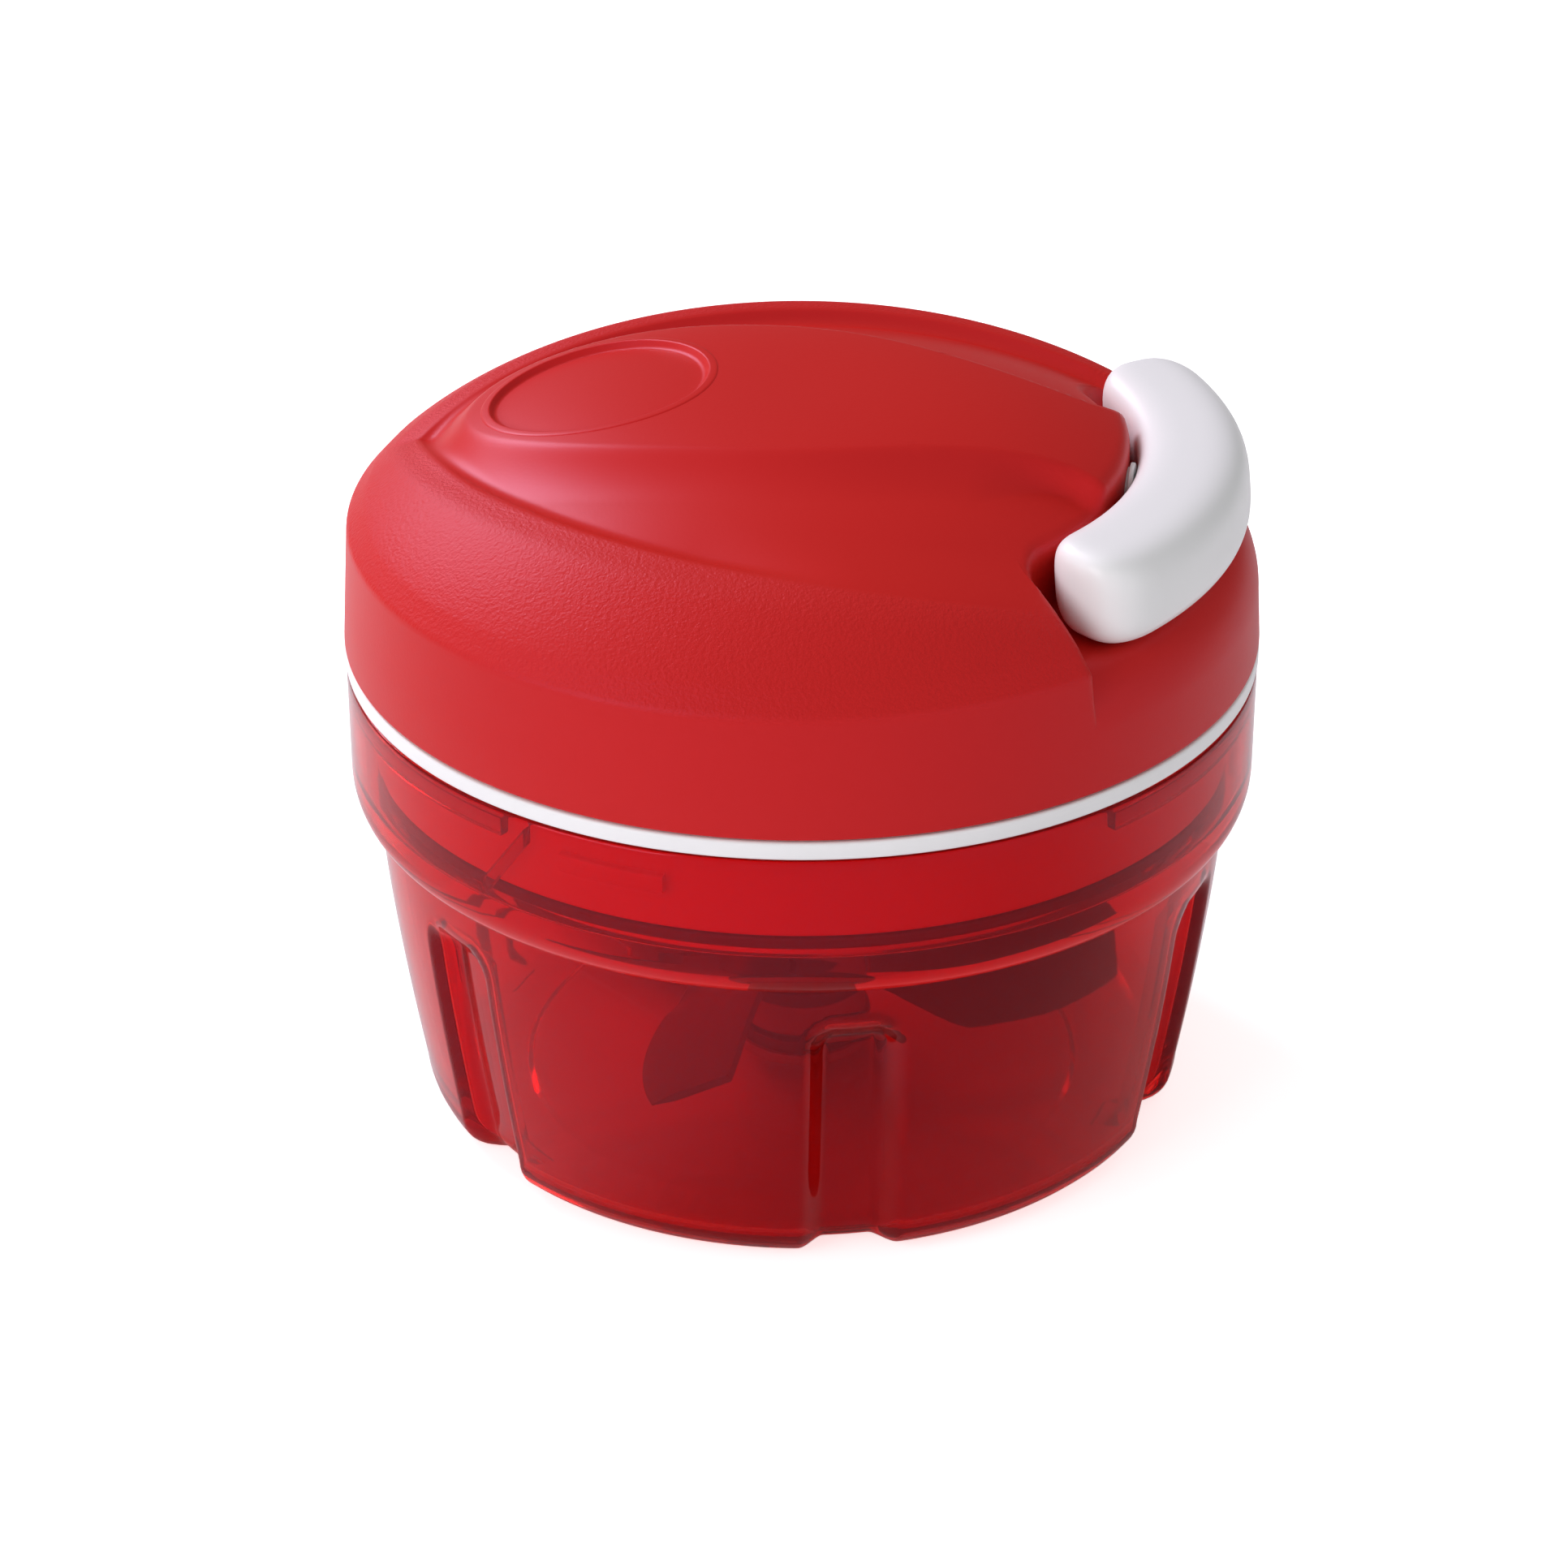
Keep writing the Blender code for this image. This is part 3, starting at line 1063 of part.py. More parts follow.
def build():
    """Makes every piece and hangs the moving ones on frames along the common axis."""
    for old in list(bpy.data.objects):
        bpy.data.objects.remove(old, do_unlink=True)
    clear_red = new_material("clear_red_plastic", (0.62, 0.02, 0.015), 0.12, clear=0.8)
    red = new_material("red_plastic", (0.55, 0.015, 0.015), 0.38)
    white = new_material("white_plastic", (0.83, 0.83, 0.85), 0.28)
    rubber = new_material("seal_rubber", (0.75, 0.75, 0.74), 0.6)
    grey = new_material("grey_plastic", (0.42, 0.43, 0.45), 0.4)
    steel = new_material("blade_steel", (0.6, 0.61, 0.63), 0.22, metallic=1.0)
    fibre = new_material("cord_fibre", (0.86, 0.86, 0.84), 0.8)

    make_bowl(clear_red)
    make_pivot_pin(steel)

    lid = new_frame("lid_frame")
    ride_on(lid, make_lid_cover(red), make_lid_base(white), make_seal_ring(rubber),
            make_eyelet(white), make_arbor(grey), make_washer(steel), make_drive_bush(grey),
            make_pull_cord(fibre))
    ride_on(lid, screw("arbor_screw", on_circle(0.0, 0.0), washer_top() - WASHER_THICKNESS - SEAT,
                       ARBOR_SCREW_LENGTH, steel))
    for index, turn in enumerate(LID_SCREW_ANGLES):
        place = on_circle(LID_SCREW_CIRCLE, turn)
        ride_on(lid, screw(f"lid_screw_{index + 1}", place, PLATE_BOTTOM - SEAT, SCREW_LENGTH, steel))

    handle = new_frame("handle_frame")
    ride_on(handle, make_handle(white), make_plug(white), make_knot(fibre))

    reel = new_frame("reel_frame")
    ride_on(reel, make_reel(grey), make_reel_cap(grey), make_winding(fibre), make_spring(steel),
            *make_pawl_pins(steel), *make_pawls(white))

    drive = new_frame("drive_frame")
    ride_on(drive, make_drive_cup(white), make_drive_clip(steel))

    blades = new_frame("blade_frame")
    ride_on(blades, make_blade_shaft(white), *make_blades(steel), *make_spacers(white))


build()
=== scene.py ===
import math

import bmesh
import bpy
from mathutils import Matrix, Vector
from mathutils.kdtree import KDTree


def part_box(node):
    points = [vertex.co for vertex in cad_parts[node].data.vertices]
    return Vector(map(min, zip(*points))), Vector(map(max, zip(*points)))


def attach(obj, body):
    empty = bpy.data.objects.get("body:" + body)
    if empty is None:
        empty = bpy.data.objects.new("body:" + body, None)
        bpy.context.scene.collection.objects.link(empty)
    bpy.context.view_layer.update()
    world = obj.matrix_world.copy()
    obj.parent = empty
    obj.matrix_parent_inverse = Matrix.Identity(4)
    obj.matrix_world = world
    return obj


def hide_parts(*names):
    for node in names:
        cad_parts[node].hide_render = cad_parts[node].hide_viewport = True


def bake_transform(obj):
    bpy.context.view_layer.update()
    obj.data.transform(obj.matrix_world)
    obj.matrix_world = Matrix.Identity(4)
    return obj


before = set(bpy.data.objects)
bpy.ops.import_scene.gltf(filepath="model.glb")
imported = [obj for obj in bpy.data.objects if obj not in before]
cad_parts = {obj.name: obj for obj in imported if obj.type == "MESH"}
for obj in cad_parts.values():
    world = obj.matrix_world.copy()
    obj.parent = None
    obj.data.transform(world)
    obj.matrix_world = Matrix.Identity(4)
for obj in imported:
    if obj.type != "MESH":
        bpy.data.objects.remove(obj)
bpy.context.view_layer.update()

# The camera stands where the photographer's did: a long lens a little under thirty degrees above the
# table, turned a few degrees to the handle's side. All sizes in this file are in millimetres.
MM = 0.001
CAMERA_AWAY = 600.0
CAMERA_RISE = math.radians(28.75)
CAMERA_TURN = math.radians(10.0)
AIM_HEIGHT = 42.3
PICTURE_SIDE = 1932
FOCAL_PIXELS = 5504
AXIS_PIXEL = 988

lens = bpy.data.cameras.new("camera")
lens.lens = FOCAL_PIXELS / PICTURE_SIDE * lens.sensor_width
lens.shift_x = (PICTURE_SIDE / 2 - AXIS_PIXEL) / PICTURE_SIDE
camera = bpy.data.objects.new("camera", lens)
towards_camera = Vector((math.sin(CAMERA_TURN) * math.cos(CAMERA_RISE),
                         -math.cos(CAMERA_TURN) * math.cos(CAMERA_RISE), math.sin(CAMERA_RISE)))
camera.location = (Vector((0.0, 0.0, AIM_HEIGHT)) + towards_camera * CAMERA_AWAY) * MM
camera.rotation_mode = "QUATERNION"
camera.rotation_quaternion = (-towards_camera).to_track_quat("-Z", "Y")
bpy.context.scene.collection.objects.link(camera)
bpy.context.scene.camera = camera

# The bowl is injection moulded in clear red plastic, 2 mm thick, with six upright grooves to grip
# and a wider collar that takes the lid. Its floor stands on a shallow ring, and a boss in the middle
# holds the steel pin.
BOWL_HEIGHT = 64.3
BOWL_WALL = 2.0
BOWL_FLOOR = 2.6
FOOT_RADIUS = 51.8
FOOT_CORNER = 5.6
FOOT_HOLLOW_RADIUS = 38.0
FOOT_HOLLOW_DEPTH = 0.8
WAIST_RADIUS = 56.6
WAIST_HEIGHT = 44.5
WALL_CURVE = 1.4
COLLAR_RADIUS = 59.9
COLLAR_STEP = 4.5
COLLAR_INNER = 58.0
LEDGE_HEIGHT = 50.0
PIN_BOSS_RADIUS = 4.9
PIN_BOSS_FLARE = 1.0
PIN_BOSS_TOP = 3.7
PIN_HOLE_RADIUS = 2.8
PIN_HOLE_BOTTOM = 1.2
GROOVE_COUNT = 6
GROOVE_PITCH = 360.0 / GROOVE_COUNT
GROOVE_PHASE = -13.0
GROOVE_WIDTH = 14.0
GROOVE_DEPTH = 3.0
GROOVE_TOP = 39.0
GROOVE_CORNER = 4.6
GROOVE_SLOPE = 3.8
GROOVE_SPAN = 10.5
GROOVE_COLUMNS = 56
BETWEEN_COLUMNS = 28
FOOT_CORNER_ROWS = 9
OUTER_WALL_ROWS = 42
COLLAR_STEP_ROWS = 8
INNER_WALL_ROWS = 36
INNER_CORNER_ROWS = 7
FLOOR_ROW = 4.0
RIM_ROW = 1.5
MERGE_DISTANCE = 0.0001
SHARP_ANGLE = 50.0
CLEAR_IOR = 1.36
CLEAR_TRANSMISSION = 0.93
CLEAR_GLOSS_TINT = (0.9, 0.5, 0.75)
CLEAR_RED = (0.85, 0.018, 0.011)
CLEAR_RED_DEEP = (0.80, 0.014, 0.012)
SHADOW_RED = (0.85, 0.06, 0.04)


def along(first, last, count):
    """Even values from the first to the last, both with them."""
    return [first + (last - first) * step / count for step in range(count + 1)]


def rounded(corners, steps=4):
    """A line of (radius, height, round) corners as points, each corner eased by its round."""
    points = [Vector(corners[0][:2])]
    for before, corner, after in zip(corners, corners[1:], corners[2:]):
        here = Vector(corner[:2])
        if corner[2] == 0.0:
            points.append(here)
            continue
        back, ahead = Vector(before[:2]) - here, Vector(after[:2]) - here
        reach = min(corner[2] / math.tan(back.angle(ahead) / 2), back.length / 2, ahead.length / 2)
        start, end = here + back.normalized() * reach, here + ahead.normalized() * reach
        points += [start.lerp(here, share).lerp(here.lerp(end, share), share)
                   for share in along(0.0, 1.0, steps)]
    return points + [Vector(corners[-1][:2])]


def around(radius, degrees, height):
    """The point at a distance from the axis, an angle about it and a height."""
    turn = math.radians(degrees)
    return Vector((radius * math.cos(turn), radius * math.sin(turn), height))


def divided(points, longest):
    """The same line with every straight run cut into pieces no longer than a length."""
    cut = [points[0]]
    for first, second in zip(points, points[1:]):
        pieces = max(1, math.ceil((second - first).length / longest))
        cut += [first.lerp(second, share) for share in along(0.0, 1.0, pieces)[1:]]
    return cut


def moulded(rows, columns, place):
    """A closed skin: a grid wrapped round, each point put where place(row, column) says."""
    shape = bmesh.new()
    bmesh.ops.create_grid(shape, x_segments=columns, y_segments=rows, size=1.0)
    for index, vert in enumerate(shape.verts):
        vert.co = place(index // (columns + 1), index % (columns + 1) % columns)
    return shape


def drawn(name, shape, finish):
    """Turns a mesh drawn in millimetres into a named piece with its finish."""
    bmesh.ops.remove_doubles(shape, verts=shape.verts, dist=MERGE_DISTANCE)
    bmesh.ops.recalc_face_normals(shape, faces=shape.faces)
    bmesh.ops.scale(shape, vec=(MM, MM, MM), verts=shape.verts)
    mesh = bpy.data.meshes.new(name)
    shape.to_mesh(mesh)
    shape.free()
    mesh.shade_smooth()
    mesh.set_sharp_from_angle(angle=math.radians(SHARP_ANGLE))
    mesh.materials.append(finish)
    piece = bpy.data.objects.new(name, mesh)
    bpy.context.scene.collection.objects.link(piece)
    return piece


def finished(name, shape, finish, body, *nodes):
    """A named piece that rides a body, has the slot of its finish and stands for nodes."""
    piece = drawn(name, shape, finish)
    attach(piece, body)
    if nodes:
        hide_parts(*nodes)
    return piece


def put(tree, kind, feeds=(), **settings):
    """Adds a shader node with its settings and the values or sockets that feed its inputs."""
    made = tree.nodes.new(kind)
    for setting, value in settings.items():
        setattr(made, setting, value)
    for socket, value in dict(feeds).items():
        if isinstance(value, bpy.types.NodeSocket):
            tree.links.new(value, made.inputs[socket])
        else:
            made.inputs[socket].default_value = value
    return made


def new_group(name, inputs, outputs):
    """An empty shader group with named sockets, and its two end nodes."""
    group = bpy.data.node_groups.new(name, "ShaderNodeTree")
    for socket, kind in inputs.items():
        group.interface.new_socket(socket, in_out="INPUT", socket_type=kind)
    for socket, kind in outputs.items():
        group.interface.new_socket(socket, in_out="OUTPUT", socket_type=kind)
    return group, group.nodes.new("NodeGroupInput"), group.nodes.new("NodeGroupOutput")


# The skin of a moulding: slow drift of its colour and gloss, and the fine grain of the mould. A
# colour mix has several sockets of one name, so they are picked by number.
MIX_SHARE = 0
MIX_FIRST = 6
MIX_SECOND = 7
MIX_RESULT = 2

skin, given, wanted = new_group(
    "Moulded Skin",
    {"Colour": "NodeSocketColor", "Second Colour": "NodeSocketColor", "Cloud Scale": "NodeSocketFloat",
     "Grain Scale": "NodeSocketFloat", "Smoothest": "NodeSocketFloat", "Roughest": "NodeSocketFloat"},
    {"Colour": "NodeSocketColor", "Roughness": "NodeSocketFloat", "Grain": "NodeSocketFloat"})
spot = put(skin, "ShaderNodeTexCoord").outputs["Object"]
clouds = put(skin, "ShaderNodeTexNoise", {"Vector": spot, "Scale": given.outputs["Cloud Scale"],
                                          "Detail": 3.0, "Roughness": 0.55})
patches = put(skin, "ShaderNodeMapRange", {"Value": clouds.outputs["Fac"], "From Min": 0.2,
                                           "From Max": 0.8}, interpolation_type="SMOOTHSTEP")
tint = put(skin, "ShaderNodeMix", {MIX_SHARE: patches.outputs["Result"],
                                   MIX_FIRST: given.outputs["Colour"],
                                   MIX_SECOND: given.outputs["Second Colour"]}, data_type="RGBA")
grain = put(skin, "ShaderNodeTexNoise", {"Vector": spot, "Scale": given.outputs["Grain Scale"],
                                         "Detail": 2.0, "Roughness": 0.6})
gloss = put(skin, "ShaderNodeMapRange", {"Value": clouds.outputs["Fac"], "From Min": 0.2,
                                         "From Max": 0.8, "To Min": given.outputs["Smoothest"],
                                         "To Max": given.outputs["Roughest"]},
            interpolation_type="SMOOTHSTEP")
skin.links.new(tint.outputs[MIX_RESULT], wanted.inputs["Colour"])
skin.links.new(gloss.outputs["Result"], wanted.inputs["Roughness"])
skin.links.new(grain.outputs["Fac"], wanted.inputs["Grain"])


def moulded_plastic(slot, colour, second, *, clouds, grain, gloss, depth):
    """A plastic finish from the skin group: colours, scales, roughness span and grain depth."""
    made = bpy.data.materials.new(slot)
    made.use_nodes = True
    tree = made.node_tree
    shader = tree.nodes["Principled BSDF"]
    surface = put(tree, "ShaderNodeGroup", node_tree=skin, name="Skin")
    for socket, value in {"Colour": (*colour, 1.0), "Second Colour": (*second, 1.0),
                          "Cloud Scale": clouds, "Grain Scale": grain, "Smoothest": gloss[0],
                          "Roughest": gloss[1]}.items():
        surface.inputs[socket].default_value = value
    bump = put(tree, "ShaderNodeBump", {"Height": surface.outputs["Grain"], "Distance": depth * MM},
               name="Grain Bump")
    tree.links.new(surface.outputs["Colour"], shader.inputs["Base Color"])
    tree.links.new(surface.outputs["Roughness"], shader.inputs["Roughness"])
    tree.links.new(bump.outputs["Normal"], shader.inputs["Normal"])
    return made


def passes_light(made, colour):
    """Lets lamp light through a clear plastic, tinted, so that what stands inside is lit."""
    tree = made.node_tree
    shader = tree.nodes["Principled BSDF"]
    path = put(tree, "ShaderNodeLightPath")
    either = put(tree, "ShaderNodeMath", {0: path.outputs["Is Shadow Ray"],
                                          1: path.outputs["Is Diffuse Ray"]}, operation="MAXIMUM")
    clear = put(tree, "ShaderNodeBsdfTransparent", {"Color": (*colour, 1.0)})
    mixed = put(tree, "ShaderNodeMixShader", {0: either.outputs[0], 1: shader.outputs[0],
                                              2: clear.outputs[0]})
    tree.links.new(mixed.outputs[0], tree.nodes["Material Output"].inputs["Surface"])


clear_red = moulded_plastic("clear_red_plastic", CLEAR_RED, CLEAR_RED_DEEP, clouds=14.0, grain=160.0,
                            gloss=(0.02, 0.05), depth=0.01)
clear_shader = clear_red.node_tree.nodes["Principled BSDF"]
clear_shader.inputs["Transmission Weight"].default_value = CLEAR_TRANSMISSION
clear_shader.inputs["IOR"].default_value = CLEAR_IOR
clear_shader.inputs["Specular Tint"].default_value = (*CLEAR_GLOSS_TINT, 1.0)
passes_light(clear_red, SHADOW_RED)


def bowl_wall(height):
    """Outside radius of the bowl between its foot and its waist."""
    share = max(0.0, WAIST_HEIGHT - max(height, FOOT_CORNER)) / (WAIST_HEIGHT - FOOT_CORNER)
    return WAIST_RADIUS - (WAIST_RADIUS - FOOT_RADIUS) * share ** WALL_CURVE


def eased(share):
    """A share kept between nought and one and smoothed at both ends."""
    share = max(0.0, min(1.0, share))
    return share * share * (3.0 - 2.0 * share)


def groove_depth(degrees, height):
    """How far the nearest upright groove cuts in at a place on the wall."""
    off = (degrees - GROOVE_PHASE + GROOVE_PITCH / 2) % GROOVE_PITCH - GROOVE_PITCH / 2
    across = math.radians(abs(off)) * bowl_wall(height)
    past_side = max(0.0, across - GROOVE_WIDTH / 2 + GROOVE_CORNER)
    past_top = max(0.0, height - GROOVE_TOP + GROOVE_CORNER)
    return GROOVE_DEPTH * eased((GROOVE_CORNER - math.hypot(past_side, past_top)) / GROOVE_SLOPE)


QUARTER = math.pi / 2
pitch_columns = along(-GROOVE_SPAN, GROOVE_SPAN, GROOVE_COLUMNS)
pitch_columns += along(GROOVE_SPAN, GROOVE_PITCH - GROOVE_SPAN, BETWEEN_COLUMNS)[1:-1]
bowl_columns = [GROOVE_PHASE + GROOVE_PITCH * index + off
                for index in range(GROOVE_COUNT) for off in pitch_columns]
underside = rounded([(0.0, FOOT_HOLLOW_DEPTH, 0.0),
                     (FOOT_HOLLOW_RADIUS - FOOT_HOLLOW_DEPTH, FOOT_HOLLOW_DEPTH, 0.5),
                     (FOOT_HOLLOW_RADIUS, 0.0, 0.3), (FOOT_RADIUS - FOOT_CORNER, 0.0, 0.0)])
underside = divided(underside, FLOOR_ROW)
foot_corner = [Vector((FOOT_RADIUS - FOOT_CORNER * (1 - math.sin(turn)),
                       FOOT_CORNER * (1 - math.cos(turn))))
               for turn in along(0.0, QUARTER, FOOT_CORNER_ROWS)]
outer_wall = [Vector((bowl_wall(height), height))
              for height in along(FOOT_CORNER, WAIST_HEIGHT, OUTER_WALL_ROWS)]
collar_step = [Vector((WAIST_RADIUS + (COLLAR_RADIUS - WAIST_RADIUS) * math.sin(turn),
                       WAIST_HEIGHT + COLLAR_STEP * (1 - math.cos(turn))))
               for turn in along(0.0, QUARTER, COLLAR_STEP_ROWS)]
inner_waist = WAIST_RADIUS - BOWL_WALL
rim = rounded([(COLLAR_RADIUS, WAIST_HEIGHT + COLLAR_STEP, 0.0), (COLLAR_RADIUS, BOWL_HEIGHT, 0.5),
               (COLLAR_INNER, BOWL_HEIGHT, 0.5), (COLLAR_INNER, LEDGE_HEIGHT, 0.7),
               (inner_waist, LEDGE_HEIGHT, 0.8), (inner_waist, WAIST_HEIGHT, 0.0)])
inner_corner = FOOT_CORNER - BOWL_WALL
inner_wall = [Vector((bowl_wall(height) - BOWL_WALL, height))
              for height in along(WAIST_HEIGHT, BOWL_FLOOR + inner_corner, INNER_WALL_ROWS)]
inner_foot = [Vector((FOOT_RADIUS - BOWL_WALL - inner_corner * (1 - math.cos(turn)),
                      BOWL_FLOOR + inner_corner * (1 - math.sin(turn))))
              for turn in along(0.0, QUARTER, INNER_CORNER_ROWS)]
floor_top = rounded([(FOOT_RADIUS - FOOT_CORNER, BOWL_FLOOR, 0.0),
                     (PIN_BOSS_RADIUS + PIN_BOSS_FLARE, BOWL_FLOOR, 0.5),
                     (PIN_BOSS_RADIUS, PIN_BOSS_TOP, 0.3), (PIN_HOLE_RADIUS, PIN_BOSS_TOP, 0.2),
                     (PIN_HOLE_RADIUS, PIN_HOLE_BOTTOM, 0.0), (0.0, PIN_HOLE_BOTTOM, 0.0)])
outside = underside + foot_corner[1:] + outer_wall[1:] + collar_step[1:]
inside = inner_wall + inner_foot[1:] + divided(floor_top, FLOOR_ROW)[1:]
bowl_line = outside + divided(rim, RIM_ROW)[1:] + inside[1:]
first_foot_row = len(underside) - 1
last_outer_row = len(outside) - 1
first_inner_row = len(bowl_line) - len(inside)


def bowl_point(row, column):
    """A point of the bowl's skin, pressed in where a groove runs over it."""
    radius, height = bowl_line[row]
    degrees = bowl_columns[column]
    cut = groove_depth(degrees, height)
    if first_foot_row <= row <= last_outer_row:
        radius -= cut
    elif row >= first_inner_row:
        radius = min(radius, bowl_wall(height) - BOWL_WALL - cut)
    return around(radius, degrees, height)


bowl_skin = moulded(len(bowl_line) - 1, len(bowl_columns), bowl_point)
finished("bowl_body", bowl_skin, clear_red, "bowl", "bowl")

# Three ramps stand inside the collar and hold the lid's lugs down when it is twisted. They are
# moulded in one with the bowl, and each begins with a slanted lead.
RAMP_COUNT = 3
RAMP_PHASE = -139.0
RAMP_SWEEP = 40.0
RAMP_REACH = 1.1
RAMP_ROOT = 0.4
RAMP_ROUND = 0.3
RAMP_BOTTOM = 60.2
RAMP_TOP = 62.6
RAMP_STEPS = 40
RAMP_LEAD_SWEEP = 7.0
RAMP_LEAD_DROP = 9.4
RAMP_LEAD_LOWER = 0.4
RAMP_LEAD_STEPS = 14
SPIN_MERGE_DISTANCE = 0.0005


def turned(line, steps, sweep=360.0, start=0.0, rise=0.0):
    """Turns a closed line of points about Z, all round or over a sweep that may rise."""
    shape = bmesh.new()
    points = [shape.verts.new((radius, 0.0, height)) for radius, height in line]
    for first, second in zip(points, points[1:] + points[:1]):
        if first.co.x > 0.0 or second.co.x > 0.0:
            shape.edges.new((first, second))
    bmesh.ops.rotate(shape, verts=points, matrix=Matrix.Rotation(math.radians(start), 3, "Z"))
    bmesh.ops.spin(shape, geom=shape.verts[:] + shape.edges[:], axis=(0, 0, 1), cent=(0, 0, 0),
                   angle=math.radians(sweep), steps=steps, use_merge=sweep == 360.0,
                   dvec=(0.0, 0.0, rise / steps))
    bmesh.ops.remove_doubles(shape, verts=shape.verts, dist=SPIN_MERGE_DISTANCE)
    if sweep != 360.0:
        bmesh.ops.holes_fill(shape, edges=shape.edges, sides=0)
    return shape


def lathe_line(corners, steps=4):
    """A closed line of (radius, height, round) corners as points."""
    return rounded([corners[-1], *corners, corners[0]], steps)[1:-1]


def joined(*shapes):
    """Several closed meshes as one."""
    whole = bmesh.new()
    for one in shapes:
        spare = bpy.data.meshes.new("spare")
        bmesh.ops.recalc_face_normals(one, faces=one.faces)
        one.to_mesh(spare)
        one.free()
        whole.from_mesh(spare)
        bpy.data.meshes.remove(spare)
    return whole


ramp_root, ramp_edge = COLLAR_INNER + RAMP_ROOT, COLLAR_INNER - RAMP_REACH
ramp_line = lathe_line([(ramp_root, RAMP_BOTTOM, 0.0), (ramp_root, RAMP_TOP, 0.0),
                        (ramp_edge, RAMP_TOP, RAMP_ROUND), (ramp_edge, RAMP_BOTTOM, RAMP_ROUND)])
lead_line = [point - Vector((0.0, RAMP_LEAD_LOWER)) for point in ramp_line]
for index in range(RAMP_COUNT):
    start = RAMP_PHASE + RAMP_SWEEP / 2 + index * 360.0 / RAMP_COUNT
    ramp = turned(ramp_line, RAMP_STEPS, -RAMP_SWEEP, start)
    lead = turned(lead_line, RAMP_LEAD_STEPS, -RAMP_LEAD_SWEEP, start + RAMP_LEAD_SWEEP / 2,
                  -RAMP_LEAD_DROP)
    finished(f"bowl_ramp_{index + 1}", joined(ramp, lead), clear_red, "bowl")

# The pin that the blades turn on is a round steel bar, ground to size and chamfered at its top. It
# stands pressed into the boss of the bowl's floor.
PIN_RADIUS = 2.5
PIN_TOP = 22.0
PIN_BOTTOM = 1.5
PIN_CHAMFER = 0.8
STEEL = (0.60, 0.61, 0.63)
STEEL_DARK = (0.50, 0.51, 0.53)
METAL_STEPS = 48

# Fine grinding lines that run one way and vary the metal's colour and gloss.
grinding, given, wanted = new_group(
    "Ground Metal",
    {"Colour": "NodeSocketColor", "Second Colour": "NodeSocketColor", "Stretch": "NodeSocketVector",
     "Smoothest": "NodeSocketFloat", "Roughest": "NodeSocketFloat"},
    {"Colour": "NodeSocketColor", "Roughness": "NodeSocketFloat", "Lines": "NodeSocketFloat"})
spot = put(grinding, "ShaderNodeTexCoord").outputs["Object"]
stretched = put(grinding, "ShaderNodeVectorMath", {0: spot, 1: given.outputs["Stretch"]},
                operation="MULTIPLY")
lines = put(grinding, "ShaderNodeTexNoise", {"Vector": stretched.outputs["Vector"], "Scale": 1.0,
                                             "Detail": 4.0, "Roughness": 0.7})
tone = put(grinding, "ShaderNodeMix", {MIX_SHARE: lines.outputs["Fac"],
                                       MIX_FIRST: given.outputs["Colour"],
                                       MIX_SECOND: given.outputs["Second Colour"]}, data_type="RGBA")
sheen = put(grinding, "ShaderNodeMapRange", {"Value": lines.outputs["Fac"], "From Min": 0.3,
                                             "From Max": 0.7, "To Min": given.outputs["Smoothest"],
                                             "To Max": given.outputs["Roughest"]})
grinding.links.new(tone.outputs[MIX_RESULT], wanted.inputs["Colour"])
grinding.links.new(sheen.outputs["Result"], wanted.inputs["Roughness"])
grinding.links.new(lines.outputs["Fac"], wanted.inputs["Lines"])


def ground_metal(slot, colour, second, *, stretch, gloss, depth):
    """A bare metal finish with grinding lines along one way."""
    made = bpy.data.materials.new(slot)
    made.use_nodes = True
    tree = made.node_tree
    shader = tree.nodes["Principled BSDF"]
    surface = put(tree, "ShaderNodeGroup", node_tree=grinding)
    for socket, value in {"Colour": (*colour, 1.0), "Second Colour": (*second, 1.0),
                          "Stretch": stretch, "Smoothest": gloss[0], "Roughest": gloss[1]}.items():
        surface.inputs[socket].default_value = value
    bump = put(tree, "ShaderNodeBump", {"Height": surface.outputs["Lines"], "Distance": depth * MM})
    shader.inputs["Metallic"].default_value = 1.0
    tree.links.new(surface.outputs["Colour"], shader.inputs["Base Color"])
    tree.links.new(surface.outputs["Roughness"], shader.inputs["Roughness"])
    tree.links.new(bump.outputs["Normal"], shader.inputs["Normal"])
    return made


turned_steel = ground_metal("steel", STEEL, STEEL_DARK, stretch=(200.0, 200.0, 3000.0),
                            gloss=(0.2, 0.34), depth=0.01)
pin_line = lathe_line([(0.0, PIN_BOTTOM, 0.0), (PIN_RADIUS, PIN_BOTTOM, 0.2),
                       (PIN_RADIUS, PIN_TOP - PIN_CHAMFER, 0.3),
                       (PIN_RADIUS - PIN_CHAMFER, PIN_TOP, 0.3), (0.0, PIN_TOP, 0.0)])
finished("steel_pin", turned(pin_line, METAL_STEPS), turned_steel, "bowl", "pivot_pin")

# The blade shaft is moulded in grey plastic round a hexagon that the lid's drive takes hold of. Rings
# of the same plastic keep the blades apart.
SHAFT_BORE = 2.8
SHAFT_BOTTOM = 4.0
SHAFT_FLANGE_RADIUS = 9.5
SHAFT_FLANGE_TOP = 5.5
SHAFT_RADIUS = 6.5
SHAFT_BORE_TOP = 22.3
HEX_FLATS = 8.0
HEX_LENGTH = 14.5
HEX_ROOT = 1.0
HEX_CORNER = 0.5
HUB_CLEARANCE = 0.3
BLADE_LEVELS = (5.8, 13.0, 20.2)
HUB_HEIGHT = 2.0
SPACER_RADIUS = 8.7
SPACER_HEIGHT = 4.6
TOP_RING_HEIGHT = 3.0
TOP_RING_NARROW = 1.5
HUB_RADIUS = 9.5
HUB_STEPS = 64
GREY = (0.34, 0.35, 0.37)
GREY_SECOND = (0.30, 0.31, 0.33)

